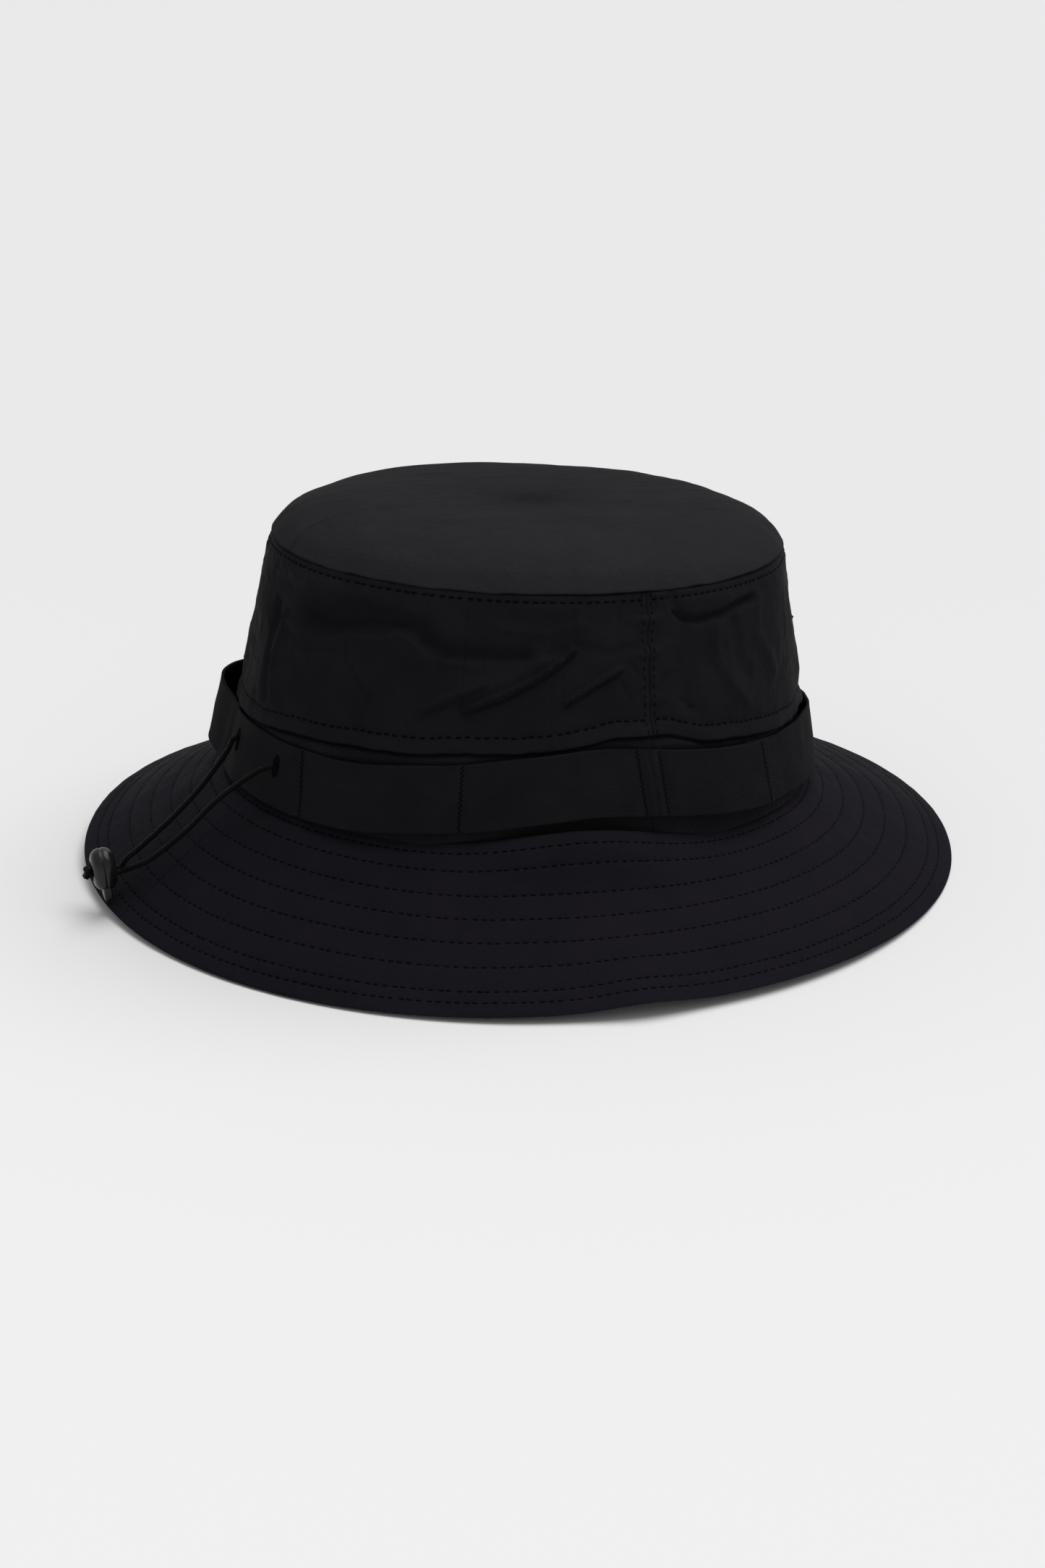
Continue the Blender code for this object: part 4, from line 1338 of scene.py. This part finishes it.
def build_sweatband(materials):
    outline = np.array(SWEATBAND_OUTLINE) * MM
    heights = np.linspace(outline[0, 0], outline[-1, 0], 60)
    height, turn = np.meshgrid(heights, ring_turns(540), indexing="ij")
    out = np.interp(height, outline[:, 0], outline[:, 1])
    rough = out - relief(turn, height, "sweatband")
    wall_piece(materials, "sweatband", "sweatband", turn, height, rough, out, closed=True)


def build_tapes(materials):
    turns = ring_turns(540)
    height = wall_length(turns) + np.linspace(*TIP_TAPE_ROWS, 9)[:, None]
    turn = np.broadcast_to(turns, height.shape)
    out = relief(turn, height, "tip_tape")
    wall_piece(materials, "tape", "tip_seam_tape", turn, height, out, closed=True)
    for side, middle in (("right", SIDE_SEAM), ("left", -SIDE_SEAM)):
        turns = span(middle - SIDE_TAPE_TURN, middle + SIDE_TAPE_TURN, 0.4)
        low = BASE_SPAN[1] + SIDE_TAPE_INSET[0]
        height = low + (wall_length(turns) - SIDE_TAPE_INSET[1] - low) * np.linspace(0.0, 1.0, 40)[:, None]
        turn = np.broadcast_to(turns, height.shape)
        out = relief(turn, height, "side_tape")
        wall_piece(materials, "tape", "side_seam_tape_" + side, turn, height, out)


def finish_cad_nodes(materials):
    """The cord's length inside the tunnel keeps its plain shape, in the cord's own material."""
    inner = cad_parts["drawcord_inner"]
    inner.data.materials.clear()
    inner.data.materials.append(materials["cord"])


# ---- stitching

def sew_brim(thread):
    sides = (("brim_top_stitching", brim_surface, BRIM_ROWS, 0, 1.0),
             ("brim_under_stitching", under_surface, BRIM_ROWS[1:], 20, -1.0))
    for name, surface, places, first, facing in sides:
        rows = [stitch_run(surface_place(surface, row), RING, seed) for seed, row in enumerate(places, first)]
        for _, _, normals in rows:
            np.negative(normals, out=normals, where=normals[:, 2:] * facing < 0)
        stitches(name, "black_nylon", thread, *rows)


def sew_crown(thread):
    rows = []
    for start, end in seam_gap_turns():
        inset = (start + 0.6, end - 0.6)
        below = surface_place(wall_surface, lambda turn: wall_length(turn) - TIP_STITCH_DROP)
        above = surface_place(wall_surface, lambda turn: flap_edge(turn) + FLAP_STITCH_RISE)
        rows += [stitch_run(below, inset, seed=41), stitch_run(above, inset, seed=42)]
    stitches("crown_stitching", "black_nylon", thread, *rows, sink=CROWN_STITCH_SINK)
    rows = [seam_run(turn) for turn in SEAM_STITCH_TURNS]
    stitches("side_seam_stitching", "black_nylon", thread, *rows, length=SEAM_STITCH_LENGTH, half=TACK_HALF)


def sew_webbing(thread):
    tacks = []
    for surface, columns in ((band_surface(back_band_out), (*TACKS, END_TACK)),
                             (band_surface(front_band_out), ((FRONT_TACK, FRONT_TACK),))):
        for top, bottom in columns:
            tacks += [tack_run(surface, top, bottom, side) for side in (-1.0, 1.0)]
    stitches("webbing_tacks", "black_webbing", thread, *tacks, half=TACK_HALF)
    eyelets = [eyelet_run(band_surface(back_band_out), middle) for middle in (-SLIT_TURN, SLIT_TURN)]
    stitches("slit_buttonholes", "black_webbing", thread, *eyelets, length=EYELET_STITCH_LENGTH)


def sew_sweatband(thread):
    rows = []
    for level, out in SWEATBAND_ROWS:
        def place(turn, level=level, out=out):
            height = np.full(np.shape(turn), level)
            point = wall_point(turn, height, out)
            return point, -unit(wall_point(turn, height, 0.01) - wall_point(turn, height, 0.0))
        rows.append(stitch_run(place, RING, seed=round(level * 1e4)))
    stitches("sweatband_stitching", "sweatband_cloth", thread, *rows)


def seam_run(turn):
    """A row of stitches up the crown wall beside a side seam."""
    low = float(flap_edge(np.array([turn]))[0]) + 0.001
    high = float(wall_length(np.array([turn]))[0]) - 0.002
    heights = np.arange(low, high, STITCH_PITCH)
    turns = np.full(len(heights), turn)
    _, up, normals = surface_axes(wall_surface, turns, heights, 0.2, 0.0005)
    return wall_surface(turns, heights), up, normals


def tack_run(surface, top, bottom, side):
    """A bar tack: a zigzag column of short stitches across the webbing."""
    shares = np.linspace(-0.47, 0.47, TACK_STITCHES)
    turns = side * tack_turn(top, bottom, shares)
    ahead, across, normals = surface_axes(surface, turns, shares, 0.3, 0.02)
    swing = np.where(np.arange(len(shares)) % 2 == 0, TACK_SWING, -TACK_SWING)[:, None]
    return surface(turns, shares), ahead * np.cos(swing) + across * np.sin(swing), normals


def eyelet_run(surface, middle):
    """Buttonhole stitches standing round a slit."""
    angle = ring_turns(EYELET_STITCHES, 2.0 * np.pi)
    turn = middle + SLIT_STITCH_HALF[0] * np.cos(angle) / SEAM_GIRTH * 360.0
    height = CORD_LEVEL + SLIT_STITCH_HALF[1] * np.sin(angle)
    share = (height - line_height(turn, BAND_LINE)) / BAND_HEIGHT
    ahead, across, normals = surface_axes(surface, turn, share, 0.3, 0.02)
    return surface(turn, share), ahead * np.cos(angle)[:, None] + across * np.sin(angle)[:, None], normals


materials = make_materials()
build_studio(materials)
knot = build_knot(materials["cord"])
build_strands(materials["cord"])
build_lock(materials)
build_spring(materials["steel"])
for build in (build_walls, build_bases, build_tip, build_brim, build_band, build_sweatband, build_tapes):
    build(materials)
finish_cad_nodes(materials)
for sew in (sew_brim, sew_crown, sew_webbing, sew_sweatband):
    sew(materials["thread"])
